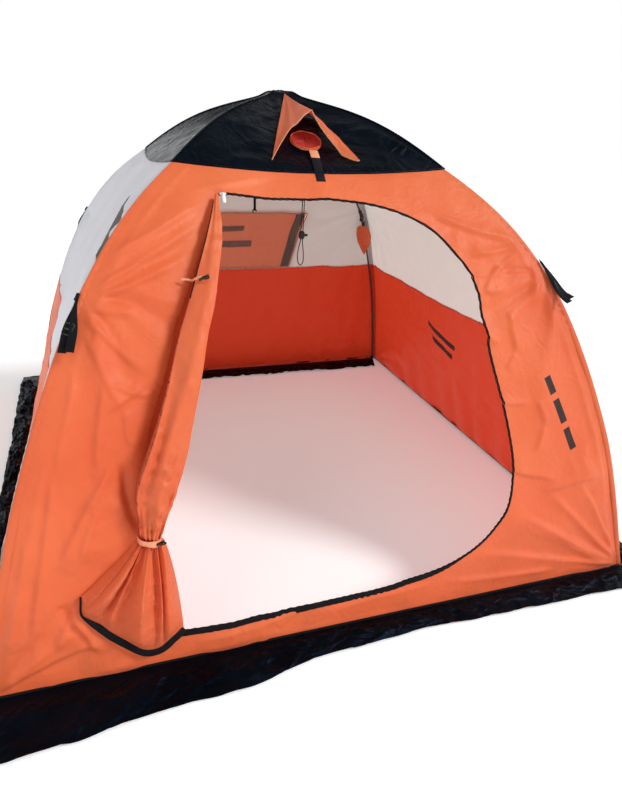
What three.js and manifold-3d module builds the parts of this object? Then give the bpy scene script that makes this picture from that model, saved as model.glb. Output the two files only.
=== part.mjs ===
// Pop-up ice fishing shelter: a square-plan fabric canopy on a folding umbrella frame.
// Millimetres, +Z up. Origin: centre of the floor square, on the ice. The doorway faces -Y.
import * as THREE from 'three';
import { mergeVertices } from 'three/addons/utils/BufferGeometryUtils.js';
import Module from 'manifold-3d';

const wasm = await Module();
wasm.setup();

// ---------------------------------------------------------------- driving dimensions
const BASE_HALF = 1000; // half of the 2.0 m floor square, at the ice
const HEIGHT = 1500; // ice to the tip of the roof
const MID_HALF = 889; // half-width of the canopy at MID_Z
const MID_Z = 500;
const KNEE_HALF = 698; // half-width at the knees of the legs
const KNEE_Z = 973;
const SEAM_HALF = 437; // half-width at the seam between roof cap and walls
const SEAM_Z = 1266;
const BAND_Z = 660; // top of the coloured lower band on three walls
const HEM_Z = 15; // lowest edge of the walls, just above the snow skirt
const CLOTH = 2.5; // thickness of the quilted cloth
const GAP = 0.3; // clearance between touching pieces
const MITRE_GAP = 0.4; // clearance between two walls at a corner

const SKIRT_INNER = 986; // half-width of the snow skirt's inner edge
const SKIRT_OUTER = 1130;
const SKIRT_EDGE = 5; // thickness of the skirt at its outer edge
const SKIRT_ROOT = 14.5; // and where the walls are sewn to it
const SKIRT_SLOPE_HALF = 1024;

const ROD_RADIUS = 5; // glass-fibre leg rods
const HUB_PIVOT_R = 40; // radius of the ring wire that the upper rods turn on
const HUB_PIVOT_Z = 1450;
const KNEE_CORNER = new THREE.Vector2(962, 943); // where the two rod lines of a leg meet
const KNEE_PIN_INSET = 13; // the knee pin sits this far inside that corner
const FOOT = new THREE.Vector2(1360, 0); // centre of a foot, in the leg's plane
const LEG_MID = new THREE.Vector2(1222, 492);
const RIB_MID = new THREE.Vector2(600, 1243);
const RIB_TOP = new THREE.Vector2(300, 1382);

const DOOR_LEFT_TOP = new THREE.Vector2(-326, 1188);
const DOOR_BOTTOM_Z = 96;
const ZIP_TAPE = 13; // width of the zip tape round the doorway

const WINDOW_TOP_Z = 975;
const WINDOW_BOTTOM_Z = 668;
const WINDOW_TOP_HALF = 372;
const WINDOW_BOTTOM_HALF = 330;

const VENT_DISTANCE = 362; // from the roof's tip down the slope to the vent's centre
const VENT_RADIUS = 50;

const CORD_RADIUS = 1.6; // vent draw cord
const CORD_X = -10;
const CORD_Y = -352;
const CORD_SPREAD = 3.4; // half the distance between the cord's two strands
const LOCK_Z = 1041;

// ---------------------------------------------------------------- finishes
const finish = (color, roughness, metalness = 0) => ({ color, roughness, metalness });
const FINISH = {
  orangeCloth: finish(0xe4733f, 0.62),
  paleCloth: finish(0xd9dadd, 0.66),
  roofCloth: finish(0x14181f, 0.42),
  skirtFilm: finish(0x101319, 0.34),
  blackTrim: finish(0x121315, 0.7),
  netting: finish(0x2b2c2d, 0.85),
  plastic: finish(0x16171a, 0.45),
  rod: finish(0x23262a, 0.35, 0.2),
  steel: finish(0xa9adb2, 0.3, 0.9),
  rubber: finish(0x1b1b1c, 0.8),
};

// ---------------------------------------------------------------- solids
function toSolid(geometry) {
  const bare = geometry.clone();
  bare.deleteAttribute('normal');
  bare.deleteAttribute('uv');
  const merged = mergeVertices(bare, 1e-3);
  return new wasm.Manifold(new wasm.Mesh({
    numProp: 3,
    vertProperties: new Float32Array(merged.attributes.position.array),
    triVerts: new Uint32Array(merged.index.array),
  }));
}

function toGeometry(solid) {
  const mesh = solid.getMesh();
  const geometry = new THREE.BufferGeometry();
  geometry.setAttribute('position', new THREE.BufferAttribute(mesh.vertProperties, 3));
  geometry.setIndex(new THREE.BufferAttribute(mesh.triVerts, 1));
  geometry.computeVertexNormals();
  return geometry;
}

function piece(name, shape, look) {
  const geometry = shape.isBufferGeometry ? shape : toGeometry(shape);
  const mesh = new THREE.Mesh(geometry, new THREE.MeshStandardMaterial(look));
  mesh.name = name;
  return mesh;
}

// A prism whose outline lies in the X-Z plane, running along Y from yLow to yHigh.
function prismAlongY(outline, yLow, yHigh, curveSegments = 6) {
  const geometry = new THREE.ExtrudeGeometry(outline, {
    depth: yHigh - yLow, bevelEnabled: false, curveSegments,
  });
  geometry.rotateX(Math.PI / 2);
  geometry.translate(0, yHigh, 0);
  return geometry;
}

function outlineOf(points) {
  return new THREE.Shape(points.map(([x, y]) => new THREE.Vector2(x, y)));
}

// Turns a closed indexed geometry the right way out.
function facingOut(geometry) {
  const { position } = geometry.attributes;
  const { array } = geometry.index;
  const corner = [new THREE.Vector3(), new THREE.Vector3(), new THREE.Vector3()];
  let volume = 0;
  for (let i = 0; i < array.length; i += 3) {
    corner.forEach((c, k) => c.fromBufferAttribute(position, array[i + k]));
    volume += corner[0].dot(corner[1].cross(corner[2]));
  }
  if (volume < 0) array.reverse();
  return geometry;
}

// A closed slab between two grids of points: face(u, v, 0) is one side and face(u, v, 1) the other.
function slab(columns, rows, face) {
  const positions = [];
  const index = [];
  const at = (i, j, side) => (side * (rows + 1) + j) * (columns + 1) + i;
  for (let side = 0; side < 2; side += 1) {
    for (let j = 0; j <= rows; j += 1) {
      for (let i = 0; i <= columns; i += 1) positions.push(...face(i / columns, j / rows, side));
    }
  }
  const quad = (a, b, c, d) => index.push(a, b, c, a, c, d);
  for (let j = 0; j < rows; j += 1) {
    for (let i = 0; i < columns; i += 1) {
      quad(at(i, j, 0), at(i + 1, j, 0), at(i + 1, j + 1, 0), at(i, j + 1, 0));
      quad(at(i, j, 1), at(i, j + 1, 1), at(i + 1, j + 1, 1), at(i + 1, j, 1));
    }
  }
  for (let i = 0; i < columns; i += 1) {
    quad(at(i, 0, 0), at(i, 0, 1), at(i + 1, 0, 1), at(i + 1, 0, 0));
    quad(at(i, rows, 0), at(i + 1, rows, 0), at(i + 1, rows, 1), at(i, rows, 1));
  }
  for (let j = 0; j < rows; j += 1) {
    quad(at(0, j, 0), at(0, j + 1, 0), at(0, j + 1, 1), at(0, j, 1));
    quad(at(columns, j, 0), at(columns, j, 1), at(columns, j + 1, 1), at(columns, j + 1, 0));
  }
  const geometry = new THREE.BufferGeometry();
  geometry.setAttribute('position', new THREE.Float32BufferAttribute(positions, 3));
  geometry.setIndex(index);
  return facingOut(geometry);
}

// A round rod of the given radius along points in the X-Z plane.
function rodAlong(points, radius, steps = 10, sides = 8) {
  const path = new THREE.CatmullRomCurve3(points.map((p) => new THREE.Vector3(p.x, 0, p.y)));
  const section = new THREE.Shape();
  for (let i = 0; i < sides; i += 1) {
    const turn = (2 * Math.PI * i) / sides;
    const x = radius * Math.cos(turn);
    const y = radius * Math.sin(turn);
    if (i === 0) section.moveTo(x, y);
    else section.lineTo(x, y);
  }
  return new THREE.ExtrudeGeometry(section, { steps, bevelEnabled: false, extrudePath: path });
}

// A cylinder whose axis runs along Y.
function discAlongY(radius, width, x, z, sides = 14) {
  const geometry = new THREE.CylinderGeometry(radius, radius, width, sides);
  geometry.translate(x, 0, z);
  return geometry;
}

// A cylinder from point a to point b, both in the X-Z plane.
function barrel(a, b, radius, sides = 12) {
  const length = a.distanceTo(b);
  const geometry = new THREE.CylinderGeometry(radius, radius, length, sides);
  const direction = new THREE.Vector3(b.x - a.x, 0, b.y - a.y).normalize();
  const turn = new THREE.Quaternion().setFromUnitVectors(new THREE.Vector3(0, 1, 0), direction);
  geometry.applyQuaternion(turn);
  geometry.translate((a.x + b.x) / 2, 0, (a.y + b.y) / 2);
  return geometry;
}

// ---------------------------------------------------------------- canopy surface
// Half-width against height, from the hem up to the tip; every level of the canopy is a square.
const wallLine = new THREE.SplineCurve([
  new THREE.Vector2(BASE_HALF, 0),
  new THREE.Vector2(MID_HALF, MID_Z),
  new THREE.Vector2(KNEE_HALF, KNEE_Z),
  new THREE.Vector2(SEAM_HALF, SEAM_Z),
  new THREE.Vector2(0, HEIGHT),
]);
const LEVELS = 16;

// The point of the canopy line at t (0 hem, 1 tip), moved outwards by offset.
function linePoint(t, offset = 0) {
  const point = wallLine.getPoint(t);
  const along = wallLine.getTangent(t);
  return new THREE.Vector2(point.x + along.y * offset, point.y - along.x * offset);
}

function parameterAtHeight(z) {
  let low = 0;
  let high = 1;
  for (let i = 0; i < 40; i += 1) {
    const middle = (low + high) / 2;
    if (wallLine.getPoint(middle).y < z) low = middle;
    else high = middle;
  }
  return (low + high) / 2;
}

// A solid tent whose surface is the canopy line moved outwards by offset.
function tentSolid(offset, floorZ) {
  const profile = [new THREE.Vector2(0, floorZ)];
  profile.push(new THREE.Vector2(linePoint(0, offset).x * Math.SQRT2, floorZ));
  for (let i = 1; i < LEVELS; i += 1) {
    const p = linePoint(i / LEVELS, offset);
    profile.push(new THREE.Vector2(p.x * Math.SQRT2, p.y));
  }
  const tip = wallLine.getTangent(1);
  profile.push(new THREE.Vector2(0, HEIGHT - offset / tip.x));
  const geometry = new THREE.LatheGeometry(profile, 4);
  geometry.rotateX(Math.PI / 2);
  geometry.rotateZ(Math.PI / 4);
  return toSolid(geometry);
}

// Everything between two offsets of the canopy line.
function canopyLayer(inner, outer) {
  return tentSolid(outer, -5).subtract(tentSolid(inner, -10));
}

const WALL_LABELS = ['front', 'right', 'back', 'left']; // facing -Y, +X, +Y and -X

// The quarter of space that one wall fills, between two heights.
function wallWedge(side, zLow, zHigh) {
  const reach = 1500;
  const start = MITRE_GAP / Math.SQRT2;
  const triangle = outlineOf([[0, -start], [-reach, -reach - start], [reach, -reach - start]]);
  const geometry = new THREE.ExtrudeGeometry(triangle, { depth: zHigh - zLow, bevelEnabled: false });
  geometry.translate(0, 0, zLow);
  geometry.rotateZ((side * Math.PI) / 2);
  return toSolid(geometry);
}

const cloth = canopyLayer(-CLOTH, 0);

// ---------------------------------------------------------------- outlines on the walls
// The doorway: straight sewn side on the left, level sill, round zipped side on the right.
function doorOutline(grow = 0) {
  const shape = new THREE.Shape();
  const left = -552 - grow;
  const sill = DOOR_BOTTOM_Z - grow;
  const head = DOOR_LEFT_TOP.y + grow;
  shape.moveTo(DOOR_LEFT_TOP.x - grow, head);
  shape.lineTo(left, 560);
  shape.lineTo(left, sill);
  shape.lineTo(-20, sill);
  shape.bezierCurveTo(270, sill + 4, 530 + grow, 150, 534 + grow, 395);
  shape.bezierCurveTo(536 + grow, 560, 460 + grow, 690, 452 + grow, 830);
  shape.bezierCurveTo(440 + grow, 1030, 350 + grow, 1166 + grow, 0, head - 10);
  shape.closePath();
  return shape;
}

function windowOutline(shrink = 0) {
  return outlineOf([
    [-WINDOW_TOP_HALF + shrink, WINDOW_TOP_Z - shrink],
    [-WINDOW_BOTTOM_HALF + shrink, WINDOW_BOTTOM_Z + shrink],
    [WINDOW_BOTTOM_HALF - shrink, WINDOW_BOTTOM_Z + shrink],
    [WINDOW_TOP_HALF - shrink, WINDOW_TOP_Z - shrink],
  ]);
}

const FRONT = [-1300, -300];
const BACK = [300, 1300];

function doorPrism(grow = 0) {
  return toSolid(prismAlongY(doorOutline(grow), ...FRONT, 10));
}

function windowPrism(shrink = 0) {
  return toSolid(prismAlongY(windowOutline(shrink), ...BACK));
}

// ---------------------------------------------------------------- canopy pieces
// Place on the front roof panel: x across, distance from the tip down the slope, height above it.
const roofLength = wallLine.getLength();
function roofPlace(x, distance, height) {
  const u = 1 - distance / roofLength;
  const t = wallLine.getUtoTmapping(u);
  const p = linePoint(t, height);
  return [x, -p.x, p.y];
}

function ventAxis() {
  const low = new THREE.Vector3(...roofPlace(0, VENT_DISTANCE, 0));
  const high = new THREE.Vector3(...roofPlace(0, VENT_DISTANCE, 100));
  return { centre: low, direction: high.sub(low).normalize() };
}

function alongVentAxis(geometry) {
  const { centre, direction } = ventAxis();
  const turn = new THREE.Quaternion().setFromUnitVectors(new THREE.Vector3(0, 1, 0), direction);
  geometry.applyQuaternion(turn);
  geometry.translate(centre.x, centre.y, centre.z);
  return geometry;
}

// The four triangular panels of the roof; the front one has the vent's hole.
function roofPanels() {
  const hole = alongVentAxis(new THREE.CylinderGeometry(VENT_RADIUS, VENT_RADIUS, 60, 20));
  return WALL_LABELS.map((label, side) => {
    const panel = cloth.intersect(wallWedge(side, SEAM_Z + GAP, HEIGHT + 50));
    return piece(`roof_${label}`, side === 0 ? panel.subtract(toSolid(hole)) : panel, FINISH.roofCloth);
  });
}

function frontWall() {
  const wall = cloth.intersect(wallWedge(0, HEM_Z, SEAM_Z)).subtract(doorPrism());
  return piece('wall_front', wall, FINISH.orangeCloth);
}

function sideWalls(label, side) {
  const upper = cloth.intersect(wallWedge(side, BAND_Z + GAP, SEAM_Z));
  const lower = cloth.intersect(wallWedge(side, HEM_Z, BAND_Z));
  return [
    piece(`wall_${label}_upper`, upper, FINISH.paleCloth),
    piece(`wall_${label}_lower`, lower, FINISH.orangeCloth),
  ];
}

function backWalls() {
  const upper = cloth.intersect(wallWedge(2, BAND_Z + GAP, SEAM_Z)).subtract(windowPrism());
  const lower = cloth.intersect(wallWedge(2, HEM_Z, BAND_Z));
  return [
    piece('wall_back_upper', upper, FINISH.paleCloth),
    piece('wall_back_lower', lower, FINISH.orangeCloth),
  ];
}

function snowSkirt() {
  const section = [
    [SKIRT_INNER, 0], [SKIRT_OUTER, 0], [SKIRT_OUTER, SKIRT_EDGE],
    [SKIRT_SLOPE_HALF, SKIRT_ROOT], [SKIRT_INNER, SKIRT_ROOT], [SKIRT_INNER, 0],
  ].map(([half, z]) => new THREE.Vector2(half * Math.SQRT2, z));
  const geometry = new THREE.LatheGeometry(section, 4);
  geometry.rotateX(Math.PI / 2);
  geometry.rotateZ(Math.PI / 4);
  return piece('snow_skirt', toSolid(geometry), FINISH.skirtFilm);
}

// ---------------------------------------------------------------- doorway
function doorZipTape() {
  const skin = canopyLayer(GAP, 2).intersect(wallWedge(0, DOOR_BOTTOM_Z - 40, SEAM_Z - 20));
  const band = doorPrism(ZIP_TAPE).subtract(doorPrism(1));
  const zipped = new THREE.BoxGeometry(1400, 2000, 1400);
  zipped.translate(700 + DOOR_LEFT_TOP.x + 8, -1000, 700);
  return piece('door_zip_tape', skin.intersect(band).intersect(toSolid(zipped)), FINISH.blackTrim);
}

// The slider straddles the tape at the head of the doorway; its pull hangs down the wall.
function doorZipSlider() {
  const skin = canopyLayer(2.6, 8);
  const body = toSolid(prismAlongY(outlineOf([[-308, 1190], [-290, 1190], [-290, 1200], [-308, 1200]]), ...FRONT));
  const pull = toSolid(prismAlongY(outlineOf([[-304, 1158], [-294, 1158], [-294, 1191], [-304, 1191]]), ...FRONT));
  const tab = canopyLayer(4.5, 6.5).intersect(pull);
  return piece('door_zip_slider', skin.intersect(body).add(tab), FINISH.paleCloth);
}

// The open door panel, gathered against the sewn side and hanging outside the wall.
// Each station: height, x of the middle, half-width, half-depth.
const DOOR_ROLL = [
  [1180, -340, 16, 8],
  [1090, -372, 30, 14],
  [960, -418, 42, 20],
  [800, -480, 52, 24],
  [620, -552, 50, 26],
  [470, -580, 36, 26],
  [394, -584, 24, 22],
  [366, -586, 24, 22],
  [300, -612, 66, 26],
  [215, -640, 120, 24],
  [110, -612, 112, 16],
];
const UPPER_TIE_STATION = 2;
const LOWER_TIE_STATION = 6;
const ROLL_CLEARANCE = 2.5;

function doorRollMiddle(station) {
  const [z, x, , depth] = station;
  const p = linePoint(parameterAtHeight(z), depth + ROLL_CLEARANCE);
  return [x, -p.x, p.y];
}

function doorPanel() {
  const sides = 12;
  const positions = [];
  const index = [];
  DOOR_ROLL.forEach((station) => {
    const [x, y, z] = doorRollMiddle(station);
    for (let i = 0; i < sides; i += 1) {
      const turn = (2 * Math.PI * i) / sides;
      positions.push(x + station[2] * Math.cos(turn), y + station[3] * Math.sin(turn), z);
    }
  });
  for (let j = 0; j + 1 < DOOR_ROLL.length; j += 1) {
    for (let i = 0; i < sides; i += 1) {
      const a = j * sides + i;
      const b = j * sides + ((i + 1) % sides);
      index.push(a, a + sides, b, b, a + sides, b + sides);
    }
  }
  const last = (DOOR_ROLL.length - 1) * sides;
  for (let i = 1; i + 1 < sides; i += 1) {
    index.push(0, i, i + 1);
    index.push(last, last + i + 1, last + i);
  }
  const geometry = new THREE.BufferGeometry();
  geometry.setAttribute('position', new THREE.Float32BufferAttribute(positions, 3));
  geometry.setIndex(index);
  return piece('door_panel_rolled', toSolid(facingOut(geometry)), FINISH.orangeCloth);
}

// A tie that goes over the outside of the gathered panel, with a toggle at its right end.
function doorTie(name, station, width, rise) {
  const from = DOOR_ROLL[station];
  const to = DOOR_ROLL[station + 1];
  const [x, y, z] = doorRollMiddle(from);
  const next = doorRollMiddle(to);
  const leanX = (next[0] - x) / (next[2] - z);
  const leanY = (next[1] - y) / (next[2] - z);
  const band = slab(14, 1, (u, v, side) => {
    const turn = Math.PI * (1 + u);
    const out = 2 + side * 2;
    const up = rise + width * (v - 0.5);
    return [
      x + leanX * up + (from[2] + out) * Math.cos(turn),
      y + leanY * up + (from[3] + out) * Math.sin(turn),
      z + up,
    ];
  });
  const toggle = new THREE.CylinderGeometry(5, 5, 30, 12);
  toggle.rotateZ(Math.PI / 2.6);
  toggle.translate(x + leanX * rise + from[2] + 16, y + leanY * rise - 6, z + rise);
  return piece(name, toSolid(band).add(toSolid(toggle)), FINISH.blackTrim);
}

// ---------------------------------------------------------------- vent
function ventHood() {
  const top = 62;
  const bottom = 478;
  const hood = slab(10, 5, (u, v, side) => {
    const distance = top + (bottom - top) * v;
    const half = 16 + 118 * v - side * 2.5;
    const rise = 12 + 96 * Math.sin((Math.PI / 2) * Math.min(1, v * 1.15)) * (1 - 0.25 * v) - side * 2.5;
    const turn = Math.PI * (1 - u);
    return roofPlace(half * Math.cos(turn), distance - 90 * v * Math.sin(turn), 1.2 + rise * Math.sin(turn));
  });
  return piece('vent_hood', toSolid(hood), FINISH.orangeCloth);
}

function ventSleeve() {
  const wall = 2.5;
  const height = 42;
  const inner = VENT_RADIUS - 2 - wall;
  const outer = VENT_RADIUS - 2;
  const section = [
    [inner, -12], [outer, -12], [outer, 1.5], [outer + 14, 4], [outer + 14, 6.5], [outer, 5.5],
    [outer - 3, height], [inner - 3, height], [inner, -12],
  ].map(([r, z]) => new THREE.Vector2(r, z));
  return piece('vent_sleeve', toSolid(alongVentAxis(new THREE.LatheGeometry(section, 16))), FINISH.orangeCloth);
}

function ventStrap() {
  const half = 21;
  const strap = slab(1, 6, (u, v, side) => roofPlace(4 + half * (2 * u - 1), 452 + 122 * v, 3.5 - side * 2));
  return piece('vent_strap', toSolid(strap), FINISH.blackTrim);
}

// The draw cord: out of the sleeve, down through the lock, round a loop and back up.
function cordRoute() {
  const top = 1302;
  const left = CORD_X - CORD_SPREAD;
  const right = CORD_X + CORD_SPREAD;
  return [
    [left - 12, CORD_Y, top], [left - 8, CORD_Y, 1270], [left - 3, CORD_Y, 1225], [left, CORD_Y, 1175],
    [left, CORD_Y, 1110], [left, CORD_Y, 1060], [left, CORD_Y, LOCK_Z], [left, CORD_Y, 1022],
    [left - 5, CORD_Y, 1000], [left - 8, CORD_Y, 972], [left - 4, CORD_Y, 950], [CORD_X + 1, CORD_Y, 941],
    [right + 5, CORD_Y, 950], [right + 6, CORD_Y, 972], [right + 3, CORD_Y, 1000], [right, CORD_Y, 1022],
    [right, CORD_Y, LOCK_Z], [right, CORD_Y, 1060], [right, CORD_Y, 1110], [right, CORD_Y, 1175],
    [right + 3, CORD_Y, 1225], [right + 8, CORD_Y, 1270], [right + 12, CORD_Y, top],
  ].map(([x, y, z]) => new THREE.Vector3(x, y, z));
}

function ventCord() {
  const sides = 8;
  const section = new THREE.Shape();
  for (let i = 0; i < sides; i += 1) {
    const turn = (2 * Math.PI * i) / sides;
    const x = CORD_RADIUS * Math.cos(turn);
    const y = CORD_RADIUS * Math.sin(turn);
    if (i === 0) section.moveTo(x, y);
    else section.lineTo(x, y);
  }
  const path = new THREE.CatmullRomCurve3(cordRoute(), false, 'centripetal');
  const geometry = new THREE.ExtrudeGeometry(section, { steps: 60, bevelEnabled: false, extrudePath: path });
  return piece('vent_cord', geometry, FINISH.blackTrim);
}

function cordLock() {
  const body = new THREE.SphereGeometry(11, 12, 8);
  body.scale(1, 0.72, 1.25);
  const slot = new THREE.BoxGeometry(2 * (CORD_SPREAD + CORD_RADIUS + 0.6), 2 * (CORD_RADIUS + 0.6), 60);
  const button = new THREE.CylinderGeometry(4, 4, 12, 8);
  button.rotateZ(Math.PI / 2);
  button.translate(14, 0, 0);
  const lock = toSolid(body).add(toSolid(button)).subtract(toSolid(slot));
  const mesh = piece('cord_lock', lock, FINISH.plastic);
  mesh.position.set(CORD_X, CORD_Y, LOCK_Z);
  return mesh;
}

// ---------------------------------------------------------------- window
function windowPieces() {
  const netting = cloth.intersect(wallWedge(2, BAND_Z, SEAM_Z)).intersect(windowPrism(GAP));
  const layer = canopyLayer(GAP, 2.5).intersect(wallWedge(2, BAND_Z - 40, SEAM_Z - 20));
  const cover = outlineOf([[-356, 984], [-310, 676], [310, 676], [356, 984]]);
  const flap = layer.intersect(toSolid(prismAlongY(cover, ...BACK)));
  return [
    piece('window_netting', netting, FINISH.netting),
    piece('window_flap', flap, FINISH.orangeCloth),
  ];
}

const TIE_X = 74;
const TIE_TOP_Z = 1085;
const TIE_LENGTH = 96;

// A webbing tie for the rolled window flap, hanging inside above the netting.
function windowTie() {
  const strap = new THREE.BoxGeometry(12, 2, TIE_LENGTH);
  strap.translate(0, 0, -TIE_LENGTH / 2);
  const hook = new THREE.CylinderGeometry(4, 4, 20, 10);
  hook.rotateZ(Math.PI / 2);
  hook.translate(0, 0, -TIE_LENGTH);
  const mesh = piece('window_tie', toSolid(strap).add(toSolid(hook)), FINISH.blackTrim);
  const wall = linePoint(parameterAtHeight(TIE_TOP_Z), -CLOTH);
  mesh.position.set(TIE_X, wall.x - 6, TIE_TOP_Z);
  return mesh;
}

// ---------------------------------------------------------------- frame
function hubCrown() {
  const crown = new THREE.CylinderGeometry(48, 46, 24, 24);
  crown.rotateX(Math.PI / 2);
  crown.translate(0, 0, HUB_PIVOT_Z);
  const groove = new THREE.TorusGeometry(HUB_PIVOT_R, 2.6, 6, 32);
  groove.translate(0, 0, HUB_PIVOT_Z);
  let solid = toSolid(crown).subtract(toSolid(groove));
  for (let i = 0; i < 4; i += 1) {
    const slot = new THREE.BoxGeometry(40, 10.6, 60);
    slot.translate(48, 0, HUB_PIVOT_Z);
    slot.rotateZ(Math.PI / 4 + (i * Math.PI) / 2);
    solid = solid.subtract(toSolid(slot));
  }
  const eyelet = new THREE.CylinderGeometry(5, 5, 80, 10);
  eyelet.rotateX(Math.PI / 2);
  eyelet.translate(0, 0, HUB_PIVOT_Z);
  return piece('hub_crown', solid.subtract(toSolid(eyelet)), FINISH.plastic);
}

function hubCover() {
  const base = HUB_PIVOT_Z + 12 + GAP;
  const profile = [[0, 0], [47, 0], [47, 4], [40, 9], [22, 13], [0, 14]];
  const geometry = new THREE.LatheGeometry(profile.map(([r, z]) => new THREE.Vector2(r, z)), 20);
  geometry.rotateX(Math.PI / 2);
  geometry.translate(0, 0, base);
  return piece('hub_cover', geometry, FINISH.plastic);
}

function hubRing() {
  const ring = new THREE.TorusGeometry(HUB_PIVOT_R, 2, 6, 32);
  ring.translate(0, 0, HUB_PIVOT_Z);
  return piece('hub_ring_wire', ring, FINISH.steel);
}

const towards = (from, to) => to.clone().sub(from).normalize();
const ribDirection = towards(RIB_MID, KNEE_CORNER);
const legDirection = towards(KNEE_CORNER, LEG_MID);
const kneeInward = ribDirection.clone().sub(legDirection).normalize();
if (kneeInward.x > 0) kneeInward.negate();
const KNEE_PIN = KNEE_CORNER.clone().addScaledVector(kneeInward, KNEE_PIN_INSET);
const SOCKET_NEAR = 17; // a knee socket starts this far from the corner
const SOCKET_FAR = 66;
const ROD_STOP = 22; // and the rod inside it ends here
const SOCKET_RADIUS = 9;

const hubPivot = new THREE.Vector2(HUB_PIVOT_R, HUB_PIVOT_Z);
const ribRise = towards(hubPivot, RIB_TOP);

function ribPoints() {
  const start = hubPivot.clone().addScaledVector(ribRise, 24);
  const last = KNEE_CORNER.clone().addScaledVector(ribDirection, -ROD_STOP);
  const before = KNEE_CORNER.clone().addScaledVector(ribDirection, -110);
  return [start, RIB_TOP, RIB_MID, before, last];
}

function legPoints(clearance = 0) {
  const first = KNEE_CORNER.clone().addScaledVector(legDirection, ROD_STOP);
  const next = KNEE_CORNER.clone().addScaledVector(legDirection, 110);
  const above = new THREE.Vector2(FOOT.x - 14, 120);
  return [first, next, LEG_MID, above, new THREE.Vector2(FOOT.x, 7 - clearance)];
}

function upperRod(label) {
  const rod = toSolid(rodAlong(ribPoints(), ROD_RADIUS));
  const ferruleEnd = hubPivot.clone().addScaledVector(ribRise, 62);
  const ferruleStart = hubPivot.clone().addScaledVector(ribRise, 20);
  const ferrule = toSolid(barrel(ferruleStart, ferruleEnd, 7.5));
  const eye = toSolid(discAlongY(7, 9, hubPivot.x, hubPivot.y));
  const side = new THREE.Vector2(-ribRise.y, ribRise.x).multiplyScalar(5);
  const neckEnd = hubPivot.clone().addScaledVector(ribRise, 26);
  const neckOutline = [
    hubPivot.clone().add(side), hubPivot.clone().sub(side), neckEnd.clone().sub(side), neckEnd.clone().add(side),
  ].map((p) => [p.x, p.y]);
  const neck = toSolid(prismAlongY(outlineOf(neckOutline), -4.5, 4.5));
  const hole = toSolid(discAlongY(2.9, 30, hubPivot.x, hubPivot.y, 14));
  return piece(`upper_rod_${label}`, rod.add(ferrule).add(eye).add(neck).subtract(hole), FINISH.rod);
}

// A plate in the leg's plane that runs from a socket to the knee pin.
function kneePlate(direction, sign, yLow, yHigh) {
  const across = new THREE.Vector2(-direction.y, direction.x);
  const near = KNEE_CORNER.clone().addScaledVector(direction, sign * (SOCKET_NEAR + 1));
  const far = KNEE_CORNER.clone().addScaledVector(direction, sign * (SOCKET_NEAR + 14));
  const plate = outlineOf([
    near.clone().addScaledVector(across, 7), far.clone().addScaledVector(across, 7),
    far.clone().addScaledVector(across, -7), near.clone().addScaledVector(across, -7),
  ].map((p) => [p.x, p.y]));
  const pinSide = new THREE.Vector2(-(near.y - KNEE_PIN.y), near.x - KNEE_PIN.x).normalize();
  const arm = outlineOf([
    KNEE_PIN.clone().addScaledVector(pinSide, 7.5), near.clone().addScaledVector(pinSide, 7.5),
    near.clone().addScaledVector(pinSide, -7.5), KNEE_PIN.clone().addScaledVector(pinSide, -7.5),
  ].map((p) => [p.x, p.y]));
  const middle = (yLow + yHigh) / 2;
  const round = discAlongY(8, yHigh - yLow, KNEE_PIN.x, KNEE_PIN.y);
  round.translate(0, middle, 0);
  return toSolid(prismAlongY(plate, yLow, yHigh))
    .add(toSolid(prismAlongY(arm, yLow, yHigh)))
    .add(toSolid(round));
}

// The blind hole in a socket that takes the end of its rod.
function rodBore(direction) {
  const blind = KNEE_CORNER.clone().addScaledVector(direction, ROD_STOP - GAP);
  const open = KNEE_CORNER.clone().addScaledVector(direction, SOCKET_FAR + 5);
  return toSolid(barrel(blind, open, ROD_RADIUS + GAP));
}

function kneeUpper(label) {
  const start = KNEE_CORNER.clone().addScaledVector(ribDirection, -SOCKET_FAR);
  const end = KNEE_CORNER.clone().addScaledVector(ribDirection, -SOCKET_NEAR);
  const bore = rodBore(ribDirection.clone().negate());
  const hole = toSolid(discAlongY(3.2, 60, KNEE_PIN.x, KNEE_PIN.y, 12));
  const solid = toSolid(barrel(start, end, SOCKET_RADIUS))
    .add(kneePlate(ribDirection, -1, 4.4, 8.4))
    .add(kneePlate(ribDirection, -1, -8.4, -4.4))
    .subtract(bore)
    .subtract(hole);
  return piece(`knee_upper_${label}`, solid, FINISH.plastic);
}

function kneeLower(label) {
  const start = KNEE_CORNER.clone().addScaledVector(legDirection, SOCKET_NEAR);
  const end = KNEE_CORNER.clone().addScaledVector(legDirection, SOCKET_FAR);
  const bore = rodBore(legDirection);
  const hole = toSolid(discAlongY(3.2, 60, KNEE_PIN.x, KNEE_PIN.y, 12));
  const solid = toSolid(barrel(start, end, SOCKET_RADIUS))
    .add(kneePlate(legDirection, 1, -4, 4))
    .subtract(bore)
    .subtract(hole);
  return piece(`knee_lower_${label}`, solid, FINISH.plastic);
}

function kneePin(label) {
  const shank = toSolid(discAlongY(2.8, 20, KNEE_PIN.x, KNEE_PIN.y, 10));
  const head = discAlongY(5.5, 2, KNEE_PIN.x, KNEE_PIN.y, 10);
  const front = head.clone().translate(0, 9.8, 0);
  const back = head.clone().translate(0, -9.8, 0);
  return piece(`knee_pin_${label}`, shank.add(toSolid(front)).add(toSolid(back)), FINISH.steel);
}

const COLLAR = [150, 186]; // the collar on a leg rod, measured down from the knee corner

function legPlace(distance) {
  const path = new THREE.CatmullRomCurve3(legPoints().map((p) => new THREE.Vector3(p.x, 0, p.y)));
  const p = path.getPointAt((distance - ROD_STOP) / path.getLength());
  return new THREE.Vector2(p.x, p.z);
}

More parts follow.
